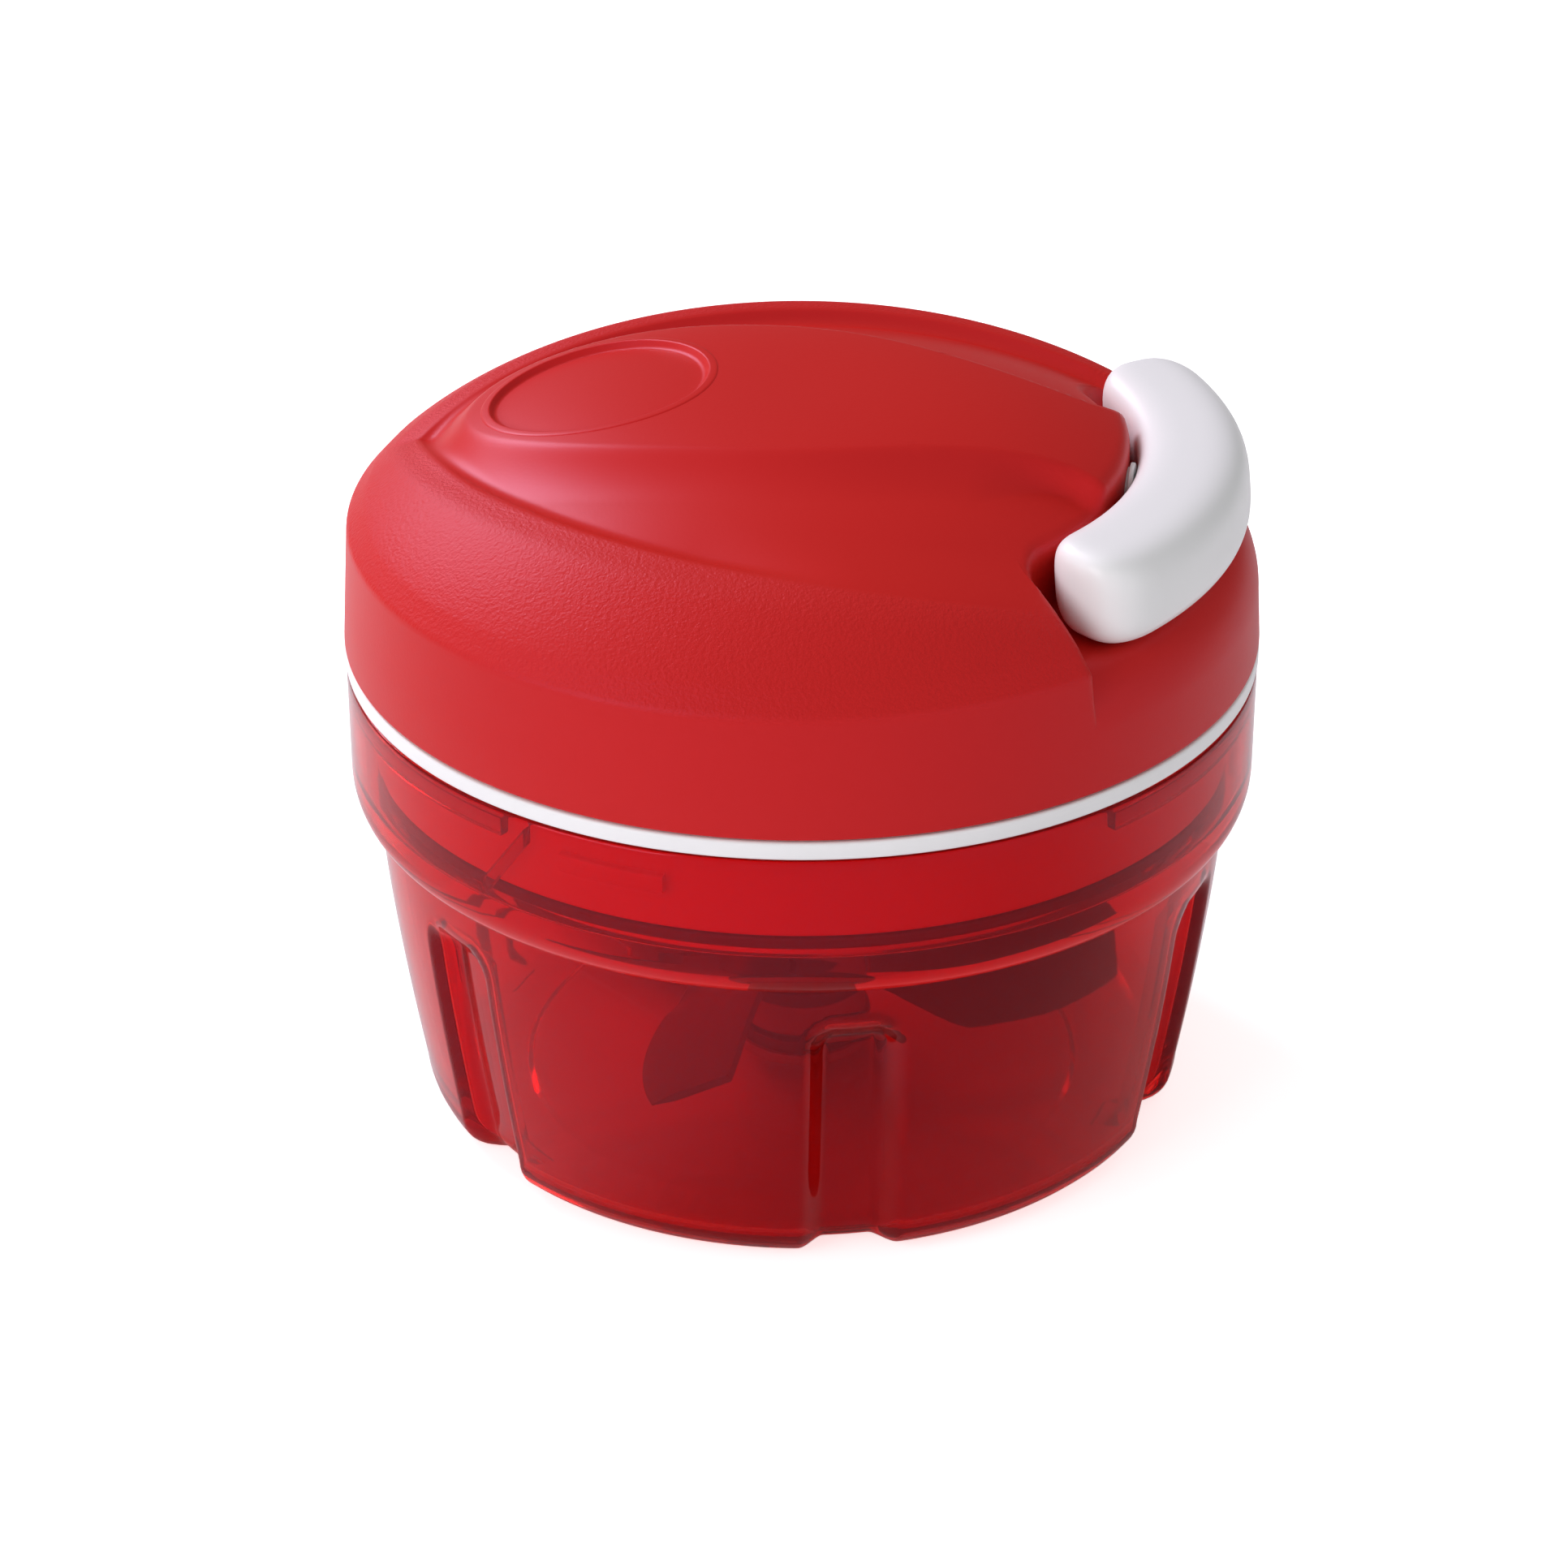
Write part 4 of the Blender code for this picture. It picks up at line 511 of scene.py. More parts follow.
shaft_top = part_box("blade_shaft")[1].z / MM
hex_bottom = shaft_top - HEX_LENGTH
hub_bore = SHAFT_RADIUS + HUB_CLEARANCE
grey_plastic = moulded_plastic("grey_plastic", GREY, GREY_SECOND, clouds=60.0, grain=900.0,
                               gloss=(0.38, 0.5), depth=0.02)
shaft_line = lathe_line([(SHAFT_BORE, SHAFT_BOTTOM, 0.2), (SHAFT_FLANGE_RADIUS, SHAFT_BOTTOM, 0.3),
                         (SHAFT_FLANGE_RADIUS, SHAFT_FLANGE_TOP, 0.3),
                         (SHAFT_RADIUS, SHAFT_FLANGE_TOP, 0.2),
                         (SHAFT_RADIUS, hex_bottom - HEX_ROOT, 0.3),
                         (SHAFT_RADIUS - HEX_ROOT, hex_bottom, 0.3), (0.0, hex_bottom, 0.0),
                         (0.0, SHAFT_BORE_TOP, 0.0), (SHAFT_BORE, SHAFT_BORE_TOP, 0.2)])
hexagon = bmesh.new()
bmesh.ops.create_circle(hexagon, cap_ends=True, segments=6,
                        radius=HEX_FLATS / 2 / math.cos(math.pi / 6),
                        matrix=Matrix.Translation((0.0, 0.0, hex_bottom - HEX_ROOT)))
grown = bmesh.ops.extrude_face_region(hexagon, geom=hexagon.faces[:])
raised = [item for item in grown["geom"] if isinstance(item, bmesh.types.BMVert)]
bmesh.ops.translate(hexagon, verts=raised, vec=(0.0, 0.0, shaft_top - hex_bottom + HEX_ROOT))
bmesh.ops.rotate(hexagon, verts=hexagon.verts, matrix=Matrix.Rotation(math.pi / 6, 3, "Z"))
bmesh.ops.bevel(hexagon, geom=hexagon.edges[:], offset=HEX_CORNER, segments=3, profile=0.5,
                affect="EDGES", material=-1)
shaft = joined(turned(shaft_line, HUB_STEPS), hexagon)
finished("drive_spindle", shaft, grey_plastic, "blades", "blade_shaft")

for index, node in enumerate(("blade_spacer_low", "blade_spacer_high")):
    bottom = BLADE_LEVELS[index] + HUB_HEIGHT + HUB_CLEARANCE
    top = bottom + SPACER_HEIGHT
    line = lathe_line([(hub_bore, bottom, 0.2), (SPACER_RADIUS, bottom, 0.4),
                       (SPACER_RADIUS, top, 0.4), (hub_bore, top, 0.2)])
    finished(f"spacer_ring_{index + 1}", turned(line, HUB_STEPS), grey_plastic, "blades", node)
bottom = BLADE_LEVELS[2] + HUB_HEIGHT + HUB_CLEARANCE
top = bottom + TOP_RING_HEIGHT
line = lathe_line([(hub_bore, bottom, 0.2), (HUB_RADIUS, bottom, 0.3),
                   (HUB_RADIUS - TOP_RING_NARROW, top, 0.8), (hub_bore, top, 0.2)])
finished("top_ring", turned(line, HUB_STEPS), grey_plastic, "blades", "blade_collar")

# Three swept blades are stamped from steel sheet, twisted and ground to an edge on one side. Each
# is one piece with its own ring on the shaft. A row gives a blade's node, where it points and how
# far it is twisted, in degrees.
BLADES = (("blade_low", 130.0, 12.0), ("blade_mid", 10.0, 26.0), ("blade_high", -110.0, 34.0))
BLADE_REACH = 44.0
BLADE_ROOT = 8.5
BLADE_WIDTH = 20.0
BLADE_ROOT_WIDTH = 8.0
BLADE_THICKNESS = 1.0
BLADE_EDGE = 0.12
BLADE_GRIND = 4.0
BLADE_SWEEP = 14.0
BLADE_BACK_SWEEP = 0.35
BLADE_TWIST_END = 0.33
BLADE_FLARE_END = 0.4
BLADE_TIP_TAPER = 0.3
BLADE_TIP_POWER = 6
BLADE_STATIONS = 40
# The blades' steel is drawn far darker than bare steel: painted shade for the dim inside of the red bowl.
BLADE_PAINTED_SHADE = (0.11, 0.11, 0.115)
BLADE_PAINTED_SHADE_DARK = (0.085, 0.085, 0.09)

blade_steel = ground_metal("blade_steel", BLADE_PAINTED_SHADE, BLADE_PAINTED_SHADE_DARK, stretch=(300.0, 300.0, 300.0),
                           gloss=(0.3, 0.42), depth=0.006)
for level, (name, turn, tilt) in zip(BLADE_LEVELS, BLADES):
    wing = bmesh.new()
    loops = []
    for share in along(0.0, 1.0, BLADE_STATIONS):
        pitch = math.radians(tilt) * min(share / BLADE_TWIST_END, 1.0)
        flare = min(share / BLADE_FLARE_END, 1.0)
        width = BLADE_ROOT_WIDTH + (BLADE_WIDTH - BLADE_ROOT_WIDTH) * flare
        width *= 1.0 - BLADE_TIP_TAPER * share ** BLADE_TIP_POWER
        drift = BLADE_SWEEP * (share ** 2 - BLADE_BACK_SWEEP * share)
        half, thick, edge = width / 2, BLADE_THICKNESS / 2, BLADE_EDGE / 2
        section = [(-half, -edge), (-half + BLADE_GRIND, -thick), (half, -thick), (half, thick),
                   (-half + BLADE_GRIND, thick), (-half, edge)]
        corners = [wing.verts.new((BLADE_ROOT + (BLADE_REACH - BLADE_ROOT) * share,
                                   drift + across * math.cos(pitch) - up * math.sin(pitch),
                                   across * math.sin(pitch) + up * math.cos(pitch)))
                   for across, up in section]
        loops.append([wing.edges.new((first, second))
                      for first, second in zip(corners, corners[1:] + corners[:1])])
    for first, second in zip(loops, loops[1:]):
        bmesh.ops.bridge_loops(wing, edges=first + second)
    bmesh.ops.holes_fill(wing, edges=loops[0] + loops[-1], sides=0)
    bmesh.ops.translate(wing, verts=wing.verts, vec=(0.0, 0.0, level + HUB_HEIGHT / 2))
    bmesh.ops.rotate(wing, verts=wing.verts, matrix=Matrix.Rotation(math.radians(turn), 3, "Z"))
    line = lathe_line([(hub_bore, level, 0.2), (HUB_RADIUS, level, 0.3),
                       (HUB_RADIUS, level + HUB_HEIGHT, 0.3), (hub_bore, level + HUB_HEIGHT, 0.2)])
    finished(f"{name}_steel", joined(wing, turned(line, HUB_STEPS)), blade_steel, "blades", name)

# The lid's base is moulded in white plastic. Its edge is the thin white ring under the red cover,
# and its skirt reaches into the bowl's collar with three lugs.
LID_RADIUS = 60.0
RING_BOTTOM = 64.6
RING_TOP = 67.0
LIP_RADIUS = 57.1
LIP_WALL = 1.6
LIP_TOP = 69.0
PLATE_TOP = 68.0
PLATE_BOTTOM = 66.0
SKIRT_OUTER = 56.4
SKIRT_INNER = 54.4
SKIRT_BOTTOM = 52.2
LUG_COUNT = 3
LUG_PHASE = -104.0
LUG_SWEEP = 14.0
LUG_REACH = 1.2
LUG_ROOT = 0.5
LUG_ROUND = 0.4
LUG_BOTTOM = 57.5
LUG_TOP = 59.9
LUG_STEPS = 16
RING_STEPS = 256
BASE_BORE = 8.8
BASE_BOSS_RADIUS = 10.8
BUSH_FLANGE = 1.4
WHITE = (0.91, 0.91, 0.92)
WHITE_SECOND = (0.88, 0.88, 0.89)

white_plastic = moulded_plastic("white_plastic", WHITE, WHITE_SECOND, clouds=30.0, grain=700.0,
                                gloss=(0.3, 0.42), depth=0.015)
bush_low, bush_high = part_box("drive_bush")
boss_low = bush_low.z / MM
boss_top = bush_high.z / MM - BUSH_FLANGE - HUB_CLEARANCE
base_line = lathe_line([(LID_RADIUS, RING_BOTTOM, 0.5), (LID_RADIUS, RING_TOP, 0.5),
                        (LIP_RADIUS, RING_TOP, 0.2), (LIP_RADIUS, LIP_TOP, 0.4),
                        (LIP_RADIUS - LIP_WALL, LIP_TOP, 0.4), (LIP_RADIUS - LIP_WALL, PLATE_TOP, 0.4),
                        (BASE_BOSS_RADIUS, PLATE_TOP, 0.5), (BASE_BOSS_RADIUS, boss_top, 0.4),
                        (BASE_BORE, boss_top, 0.3), (BASE_BORE, boss_low, 0.3),
                        (BASE_BOSS_RADIUS, boss_low, 0.4), (BASE_BOSS_RADIUS, PLATE_BOTTOM, 0.8),
                        (SKIRT_INNER, PLATE_BOTTOM, 1.0), (SKIRT_INNER, SKIRT_BOTTOM, 0.5),
                        (SKIRT_OUTER, SKIRT_BOTTOM, 0.5), (SKIRT_OUTER, RING_BOTTOM, 0.5)])
lug_root, lug_edge = SKIRT_OUTER - LUG_ROOT, SKIRT_OUTER + LUG_REACH
lug_line = lathe_line([(lug_root, LUG_BOTTOM, 0.0), (lug_edge, LUG_BOTTOM, LUG_ROUND),
                       (lug_edge, LUG_TOP, LUG_ROUND), (lug_root, LUG_TOP, 0.0)])
lug_starts = [LUG_PHASE - LUG_SWEEP / 2 + index * 360.0 / LUG_COUNT for index in range(LUG_COUNT)]
lugs = [turned(lug_line, LUG_STEPS, LUG_SWEEP, start) for start in lug_starts]
base_plate = joined(turned(base_line, RING_STEPS), *lugs)
finished("lid_base_plate", base_plate, white_plastic, "lid", "lid_base")

# A soft rubber seal, drawn almost black so that the band at the ledge looks dark through the bowl, is
# stretched over the foot of the lid's skirt, and it is pressed on the ledge inside the bowl's collar
# when the lid is on.
SEAL_BOTTOM = 50.3
SEAL_TOP = 51.9
SEAL_ROUND = 0.5
SEAL = (0.10, 0.10, 0.10)
SEAL_SECOND = (0.08, 0.08, 0.08)

seal_rubber = moulded_plastic("seal_rubber", SEAL, SEAL_SECOND, clouds=50.0, grain=600.0,
                              gloss=(0.55, 0.7), depth=0.03)
seal_line = lathe_line([(SKIRT_INNER, SEAL_BOTTOM, SEAL_ROUND), (SKIRT_OUTER, SEAL_BOTTOM, SEAL_ROUND),
                        (SKIRT_OUTER, SEAL_TOP, SEAL_ROUND), (SKIRT_INNER, SEAL_TOP, SEAL_ROUND)])
finished("lid_seal", turned(seal_line, RING_STEPS), seal_rubber, "lid", "seal_ring")

# The cover is one red moulding with a satin grain: a low dome with an eye-shaped recess, a raised
# middle, or island, that ends in a nose over the handle's pocket, and a straight band down to the
# white ring.
COVER_BOTTOM = 67.3
BAND_DRAFT = 1.0
CREASE_HEIGHT = 83.1
CREASE_RADIUS = 59.0
CREASE_ROUND = 1.2
CREASE_START = 2.5
DOME_RISE = 17.9
DOME_POWER = 2.75
DOME_FULLNESS = 0.85
RECESS_DEPTH = 2.1
RECESS_DEPTH_SHIFT = 0.7
RECESS_RADIUS = 40.3
RECESS_SPREAD = 3.8
RECESS_NARROWEST = 113.0
RECESS_TURN = 40.0
CREST_DROP = 0.9
CREST_WIDTH = 4.5
CREST_WIDTH_SHIFT = 1.5
CREST_SLOPE = 3.2
CREST_SLOPE_SHIFT = 0.4
CREST_ROUND = 0.14
FADE_SLOPE = 17.0
FADE_FROM = 100.0
FADE_TO = 70.0
ISLAND_TIP = -43.5
ISLAND_WIDEST = 33.5
ISLAND_HALF_WIDTH = 19.6
ISLAND_NECK = 10.2
ISLAND_NOSE = 12.0
ISLAND_NOSE_LENGTH = 7.2
ISLAND_FULLNESS = 2.2
ISLAND_EASE = 1.2
EDGE_TURN_START = 0.5
EDGE_TURN = 7.0
ISLAND_SLOPE = 2.6
ISLAND_SLOPE_WIDER = 5.4
ISLAND_EDGE_ROUND = 0.12
ISLAND_CRISP_FROM = 24.0
ISLAND_CRISP_SPREAD = 12.0
ISLAND_TIP_PLACES = 150
ISLAND_SIDE_PLACES = 250
ISLAND_PAST_BACK = 4.0
POCKET_ANGLE = 43.0
POCKET_INNER = 42.2
POCKET_FLOOR = 82.6
POCKET_BED = 54.0
POCKET_LOW = 74.2
POCKET_MOUTH_IN = 0.44
POCKET_CORNER = 7.0
POCKET_CORNER_SWEEP = 8.0
NOSE_ROUND = 3.2
NOSE_FALL = 1.25
DISH_PLACE = -26.6
DISH_RADIUS = 14.3
DISH_BED = 3.8
DISH_BED_EDGE = 0.6
DISH_BED_SLOPE = 1.4
COVER_INNER = 57.6
COVER_INNER_RISE = 5.0
COVER_SHOULDER = 4.0
COVER_UNDER = 79.0
COVER_HOLLOW = 36.5
ROOF = 4.6
TOP_ROWS = 128
TOP_ROW_POWER = 1.2
OVER_ROWS = 40
SIDE_ROWS = 62
POCKET_ROUND_ROWS = 16
HEM_ROW = 12.0
POCKET_COLUMNS = 38
POCKET_COLUMNS_SHORT = 1.4
DOME_COLUMNS = 156
RED = (0.585, 0.0150, 0.0085)
RED_SECOND = (0.56, 0.0125, 0.0085)
RED_SPECULAR = 0.25
RED_GLOSS_TINT = (0.9, 0.55, 1.0)
RED_GLOSS = (0.38, 0.42)
GRAINED_GLOSS = 0.09
SMOOTH_GRAIN = 0.10
GRAIN_EDGE = 0.8


def dome(radius):
    """Height of the lid's outer surface at a distance from the axis."""
    share = min(radius / CREASE_RADIUS, 1.0)
    return CREASE_HEIGHT + DOME_RISE * (1.0 - share ** DOME_POWER) ** DOME_FULLNESS


def pocket_back(degrees):
    """Distance from the axis to the pocket's back wall, which curves out round the handle's ends."""
    share = max(0.0, min(1.0, 1.0 - (POCKET_ANGLE - abs(degrees)) / POCKET_CORNER_SWEEP))
    return POCKET_INNER + POCKET_CORNER * (1.0 - math.sqrt(1.0 - share * share))


def crest(degrees):
    """Distance from the axis to the crest at the recess's edge."""
    return RECESS_RADIUS + RECESS_SPREAD * ((abs(degrees) - RECESS_NARROWEST) / RECESS_TURN) ** 2


def top_edge(degrees):
    """Where the top's rows end: at the crest, and beside the pocket drawn in to its back wall."""
    nose = pocket_back(degrees) - NOSE_ROUND
    past_pocket = eased((abs(degrees) - POCKET_ANGLE - EDGE_TURN_START) / EDGE_TURN)
    return nose + (crest(degrees) - nose) * past_pocket


def island_half_width(place):
    """Half the width of the raised middle at a place along the pull axis."""
    widest = ISLAND_TIP + ISLAND_WIDEST
    neck = POCKET_INNER - ISLAND_NOSE_LENGTH
    if place <= widest:
        share = min((widest - place) / ISLAND_WIDEST, 1.0)
        return ISLAND_HALF_WIDTH * (1.0 - share ** ISLAND_FULLNESS) ** (1.0 / ISLAND_FULLNESS)
    if place <= neck:
        share = ((place - widest) / (neck - widest)) ** ISLAND_EASE
        return ISLAND_NECK + (ISLAND_HALF_WIDTH - ISLAND_NECK) * (1.0 + math.cos(math.pi * share)) / 2
    return ISLAND_NECK + (ISLAND_NOSE - ISLAND_NECK) * ((place - neck) / ISLAND_NOSE_LENGTH) ** 2


edge_places = [ISLAND_TIP + ISLAND_WIDEST * (1 - math.cos(turn))
               for turn in along(0.0, QUARTER, ISLAND_TIP_PLACES)]
edge_places += along(ISLAND_TIP + ISLAND_WIDEST, POCKET_INNER + ISLAND_PAST_BACK,
                     ISLAND_SIDE_PLACES)[1:]
island_edge = KDTree(len(edge_places))
for index, place in enumerate(edge_places):
    island_edge.insert((place, island_half_width(place), 0.0), index)
island_edge.balance()


def lid_top(radius, degrees):
    """Height of the lid: the dome, scooped out beside the raised middle up to a crest."""
    x = radius * math.cos(math.radians(degrees))
    y = abs(radius * math.sin(math.radians(degrees)))
    if x > ISLAND_TIP and y < island_half_width(x):
        inside = DISH_RADIUS + DISH_BED_EDGE - math.hypot(x - DISH_PLACE, y)
        return dome(radius) - DISH_BED * eased(inside / DISH_BED_SLOPE)
    edge = crest(degrees)
    fade = 1.0 - eased((-degrees - FADE_TO) / (FADE_FROM - FADE_TO)) if degrees < 0.0 else 0.0
    far = math.sin(math.radians(degrees))
    width = CREST_WIDTH - CREST_WIDTH_SHIFT * far
    inward = (edge - radius) / (CREST_SLOPE + CREST_SLOPE_SHIFT * far)
    inward = min((inward + math.hypot(inward, CREST_ROUND)) / 2, 1.0)
    deep = RECESS_DEPTH + RECESS_DEPTH_SHIFT * far
    crisp = deep * (1.0 - (1.0 - inward) ** 2)
    crisp += CREST_DROP * (1.0 - eased((radius - edge) / width))
    soft = (deep + CREST_DROP) * eased((edge + width - radius) / FADE_SLOPE)
    soft_end = eased((ISLAND_CRISP_FROM + ISLAND_CRISP_SPREAD - x) / ISLAND_CRISP_SPREAD)
    slope = ISLAND_SLOPE + ISLAND_SLOPE_WIDER * soft_end
    away = island_edge.find((x, y, 0.0))[2] / slope
    away = min(math.hypot(away, ISLAND_EDGE_ROUND) - ISLAND_EDGE_ROUND, 1.0)
    beyond = 1.0 - (1.0 - away) ** 2
    return dome(radius) - (crisp + (soft - crisp) * fade) * beyond


def evenly(points, count):
    """A line of points spaced evenly along another, as many as asked."""
    lengths = [0.0]
    for first, second in zip(points, points[1:]):
        lengths.append(lengths[-1] + (second - first).length)
    spaced, piece = [], 0
    for wanted_length in along(0.0, lengths[-1], count):
        while piece < len(points) - 2 and lengths[piece + 1] < wanted_length:
            piece += 1
        run = max(lengths[piece + 1] - lengths[piece], 1e-9)
        spaced.append(points[piece].lerp(points[piece + 1], (wanted_length - lengths[piece]) / run))
    return spaced


# Columns stand closer together at the pocket's end walls. Each is an angle and how much of the
# dome's line it has over the pocket's.
WALL_COLUMNS = ((-0.7, 0.0), (-0.2, 0.03), (-0.05, 0.12), (0.05, 0.4), (0.15, 0.7), (0.3, 0.9),
                (0.6, 0.975), (1.2, 1.0))
half_columns = [(degrees, 0.0)
                for degrees in along(0.0, POCKET_ANGLE - POCKET_COLUMNS_SHORT, POCKET_COLUMNS)]
half_columns += [(POCKET_ANGLE + off, share) for off, share in WALL_COLUMNS]
half_columns += [(degrees, 1.0) for degrees in along(half_columns[-1][0], 180.0, DOME_COLUMNS)[1:]]
cover_columns = half_columns + [(-degrees, share) for degrees, share in half_columns[-2:0:-1]]

crease_start = CREASE_RADIUS - CREASE_START
crease = rounded([(crease_start, dome(crease_start), 0.0), (CREASE_RADIUS, CREASE_HEIGHT, CREASE_ROUND),
                  (CREASE_RADIUS + BAND_DRAFT / 2, POCKET_LOW, 0.0)], 8)
pocket_round = [Vector((POCKET_BED + (LID_RADIUS - POCKET_MOUTH_IN - POCKET_BED) * math.sin(turn),
                        POCKET_LOW + (POCKET_FLOOR - POCKET_LOW) * math.cos(turn)))
                for turn in along(0.0, QUARTER, POCKET_ROUND_ROWS)]
below_pocket = Vector((CREASE_RADIUS + BAND_DRAFT * (CREASE_HEIGHT - POCKET_LOW)
                       / (CREASE_HEIGHT - COVER_BOTTOM), POCKET_LOW))
hem = rounded([(*below_pocket, 0.0), (LID_RADIUS, COVER_BOTTOM, 0.4), (COVER_INNER, COVER_BOTTOM, 0.3),
               (COVER_INNER, COVER_BOTTOM + COVER_INNER_RISE, 0.0),
               (COVER_INNER - COVER_SHOULDER, COVER_UNDER, 0.0), (COVER_HOLLOW, COVER_UNDER, 0.0),
               (COVER_HOLLOW, dome(COVER_HOLLOW) - ROOF, 0.0), (0.0, dome(0.0) - ROOF, 0.0)])
hem = divided(hem, HEM_ROW)
cover_lines = []
for degrees, share in cover_columns:
    edge = top_edge(degrees)
    top = []
    for step in along(0.0, 1.0, TOP_ROWS):
        radius = edge * (1.0 - (1.0 - step) ** TOP_ROW_POWER)
        top.append(Vector((radius, lid_top(radius, degrees))))
    over = [Vector((radius, lid_top(radius, degrees)))
            for radius in along(edge, crease_start, OVER_ROWS)[:-1]]
    over = evenly(over + crease[:-1] + [below_pocket], SIDE_ROWS)
    lip = top[-1].y
    back = pocket_back(degrees)
    under = rounded([(*top[-1], 0.0), (back, lip - NOSE_FALL, NOSE_ROUND), (back, POCKET_FLOOR, 0.8),
                     (POCKET_BED, POCKET_FLOOR, 0.0)], 6)
    under = evenly(under[:-1] + pocket_round[:-1] + [below_pocket], SIDE_ROWS)
    side = [low.lerp(high, share) for low, high in zip(under, over)]
    cover_lines.append(top + side[1:] + hem[1:])


def cover_point(row, column):
    """A point of the cover's skin."""
    radius, height = cover_lines[column][row]
    return around(radius, cover_columns[column][0], height)


red_satin = moulded_plastic("red_plastic", RED, RED_SECOND, clouds=9.0, grain=2000.0, gloss=RED_GLOSS,
                            depth=0.11)
red_tree = red_satin.node_tree
red_shader = red_tree.nodes["Principled BSDF"]
red_shader.inputs["Specular IOR Level"].default_value = RED_SPECULAR
red_shader.inputs["Specular Tint"].default_value = (*RED_GLOSS_TINT, 1.0)
red_skin = red_tree.nodes["Skin"]
grained = put(red_tree, "ShaderNodeAttribute", attribute_name="grained").outputs["Fac"]
duller = put(red_tree, "ShaderNodeMath",
             {0: grained, 1: GRAINED_GLOSS, 2: red_skin.outputs["Roughness"]}, operation="MULTIPLY_ADD")
red_tree.links.new(duller.outputs[0], red_shader.inputs["Roughness"])
rougher = put(red_tree, "ShaderNodeMapRange", {"Value": grained, "To Min": SMOOTH_GRAIN, "To Max": 1.0})
deeper = put(red_tree, "ShaderNodeMath", {0: red_skin.outputs["Grain"], 1: rougher.outputs["Result"]},
             operation="MULTIPLY")
red_tree.links.new(deeper.outputs[0], red_tree.nodes["Grain Bump"].inputs["Height"])
cover_skin = moulded(len(cover_lines[0]) - 1, len(cover_columns), cover_point)
cover = finished("cover_dome", cover_skin, red_satin, "lid", "lid_cover")

# The dome outside the crest is grained, and the top inside it and the band are almost smooth.
grain_map = cover.data.attributes.new("grained", "FLOAT", "POINT")
for vert, grain_here in zip(cover.data.vertices, grain_map.data):
    x, y, height = vert.co / MM
    past_crest = math.hypot(x, y) - crest(math.degrees(math.atan2(y, x)))
    above_crease = (height - CREASE_HEIGHT) / GRAIN_EDGE + 0.5
    grain_here.value = eased(past_crest / GRAIN_EDGE) * eased(above_crease)

# The finger dish on the island is part of the same moulding: a round hollow to press on, with a
# thin raised lip that follows the dome.
DISH_DEPTH = 0.9
DISH_SIDE = 0.7
DISH_FLOOR_ROUND = 0.9
DISH_LIP = 1.2
DISH_LIP_RISE = 0.12
DISH_LIP_FLARE = 0.3
DISH_LIP_FOOT = -0.9
DISH_NECK_FOOT = -1.1
DISH_UNDER = 0.5
DISH_UNDER_SHARE = 0.9
DISH_ROW = 1.0
DISH_STEPS = 200

lip_radius = DISH_RADIUS + DISH_LIP
dish_under = -DISH_DEPTH - DISH_UNDER
dish_line = lathe_line([(0.0, -DISH_DEPTH, 0.0), (DISH_RADIUS - DISH_SIDE, -DISH_DEPTH, DISH_FLOOR_ROUND),
                        (DISH_RADIUS, DISH_LIP_RISE, 0.4), (lip_radius, DISH_LIP_RISE, 0.6),
                        (lip_radius + DISH_LIP_FLARE, DISH_LIP_FOOT, 0.0),
                        (DISH_RADIUS, DISH_NECK_FOOT, 0.0),
                        (DISH_RADIUS * DISH_UNDER_SHARE, dish_under, 0.0), (0.0, dish_under, 0.0)], 6)
finger_dish = turned(divided(dish_line, DISH_ROW), DISH_STEPS)
bmesh.ops.translate(finger_dish, verts=finger_dish.verts, vec=(DISH_PLACE, 0.0, 0.0))
for vert in finger_dish.verts:
    vert.co.z += dome(math.hypot(vert.co.x, vert.co.y))
finished("finger_dish", finger_dish, red_satin, "lid")

# A small eyelet of white plastic lines the hole that the cord comes out of, so that it runs without
# wear. It is pressed into the pocket's back wall.
EYELET_BORE = 1.4
EYELET_WALL = 1.2
EYELET_FLANGE = 0.6
EYELET_FLANGE_REACH = 0.6
EYELET_BACK = 39.0
EYELET_FRONT = 43.1
EYELET_STEPS = 48
CORD_HEIGHT = 89.6

eyelet_radius = EYELET_BORE + EYELET_WALL
flange_radius = eyelet_radius + EYELET_FLANGE_REACH
eyelet_length = EYELET_FRONT - EYELET_BACK
flange_back = eyelet_length - EYELET_FLANGE
eyelet_line = lathe_line([(EYELET_BORE, 0.0, 0.2), (eyelet_radius, 0.0, 0.1),
                          (eyelet_radius, flange_back, 0.0), (flange_radius, flange_back, 0.1),
                          (flange_radius, eyelet_length, 0.3), (EYELET_BORE, eyelet_length, 0.4)])
eyelet = turned(eyelet_line, EYELET_STEPS)
bmesh.ops.rotate(eyelet, verts=eyelet.verts, matrix=Matrix.Rotation(QUARTER, 3, "Y"))
bmesh.ops.translate(eyelet, verts=eyelet.verts, vec=(EYELET_BACK, 0.0, CORD_HEIGHT))
finished("eyelet_ring", eyelet, white_plastic, "lid", "cord_eyelet")

# The pull handle is a solid white grip, bent round the lid and rounded all over, that rests in the
# pocket. The plug over the cord's knot is flush with it, so both are one skin here.
HANDLE_INNER = 43.4
HANDLE_OUTER = 57.8
HANDLE_BOTTOM = 82.9
HANDLE_HEIGHT = 11.8
HANDLE_ANGLE = 38.5
HANDLE_SQUARENESS = 3.2
HANDLE_END = 7.0
HANDLE_LEAN = 0.10
HANDLE_END_ROUND = 2.4
HANDLE_END_FULL = 5.0
HANDLE_ROWS = 140
HANDLE_COLUMNS = 96

handle_centre = (HANDLE_INNER + HANDLE_OUTER) / 2


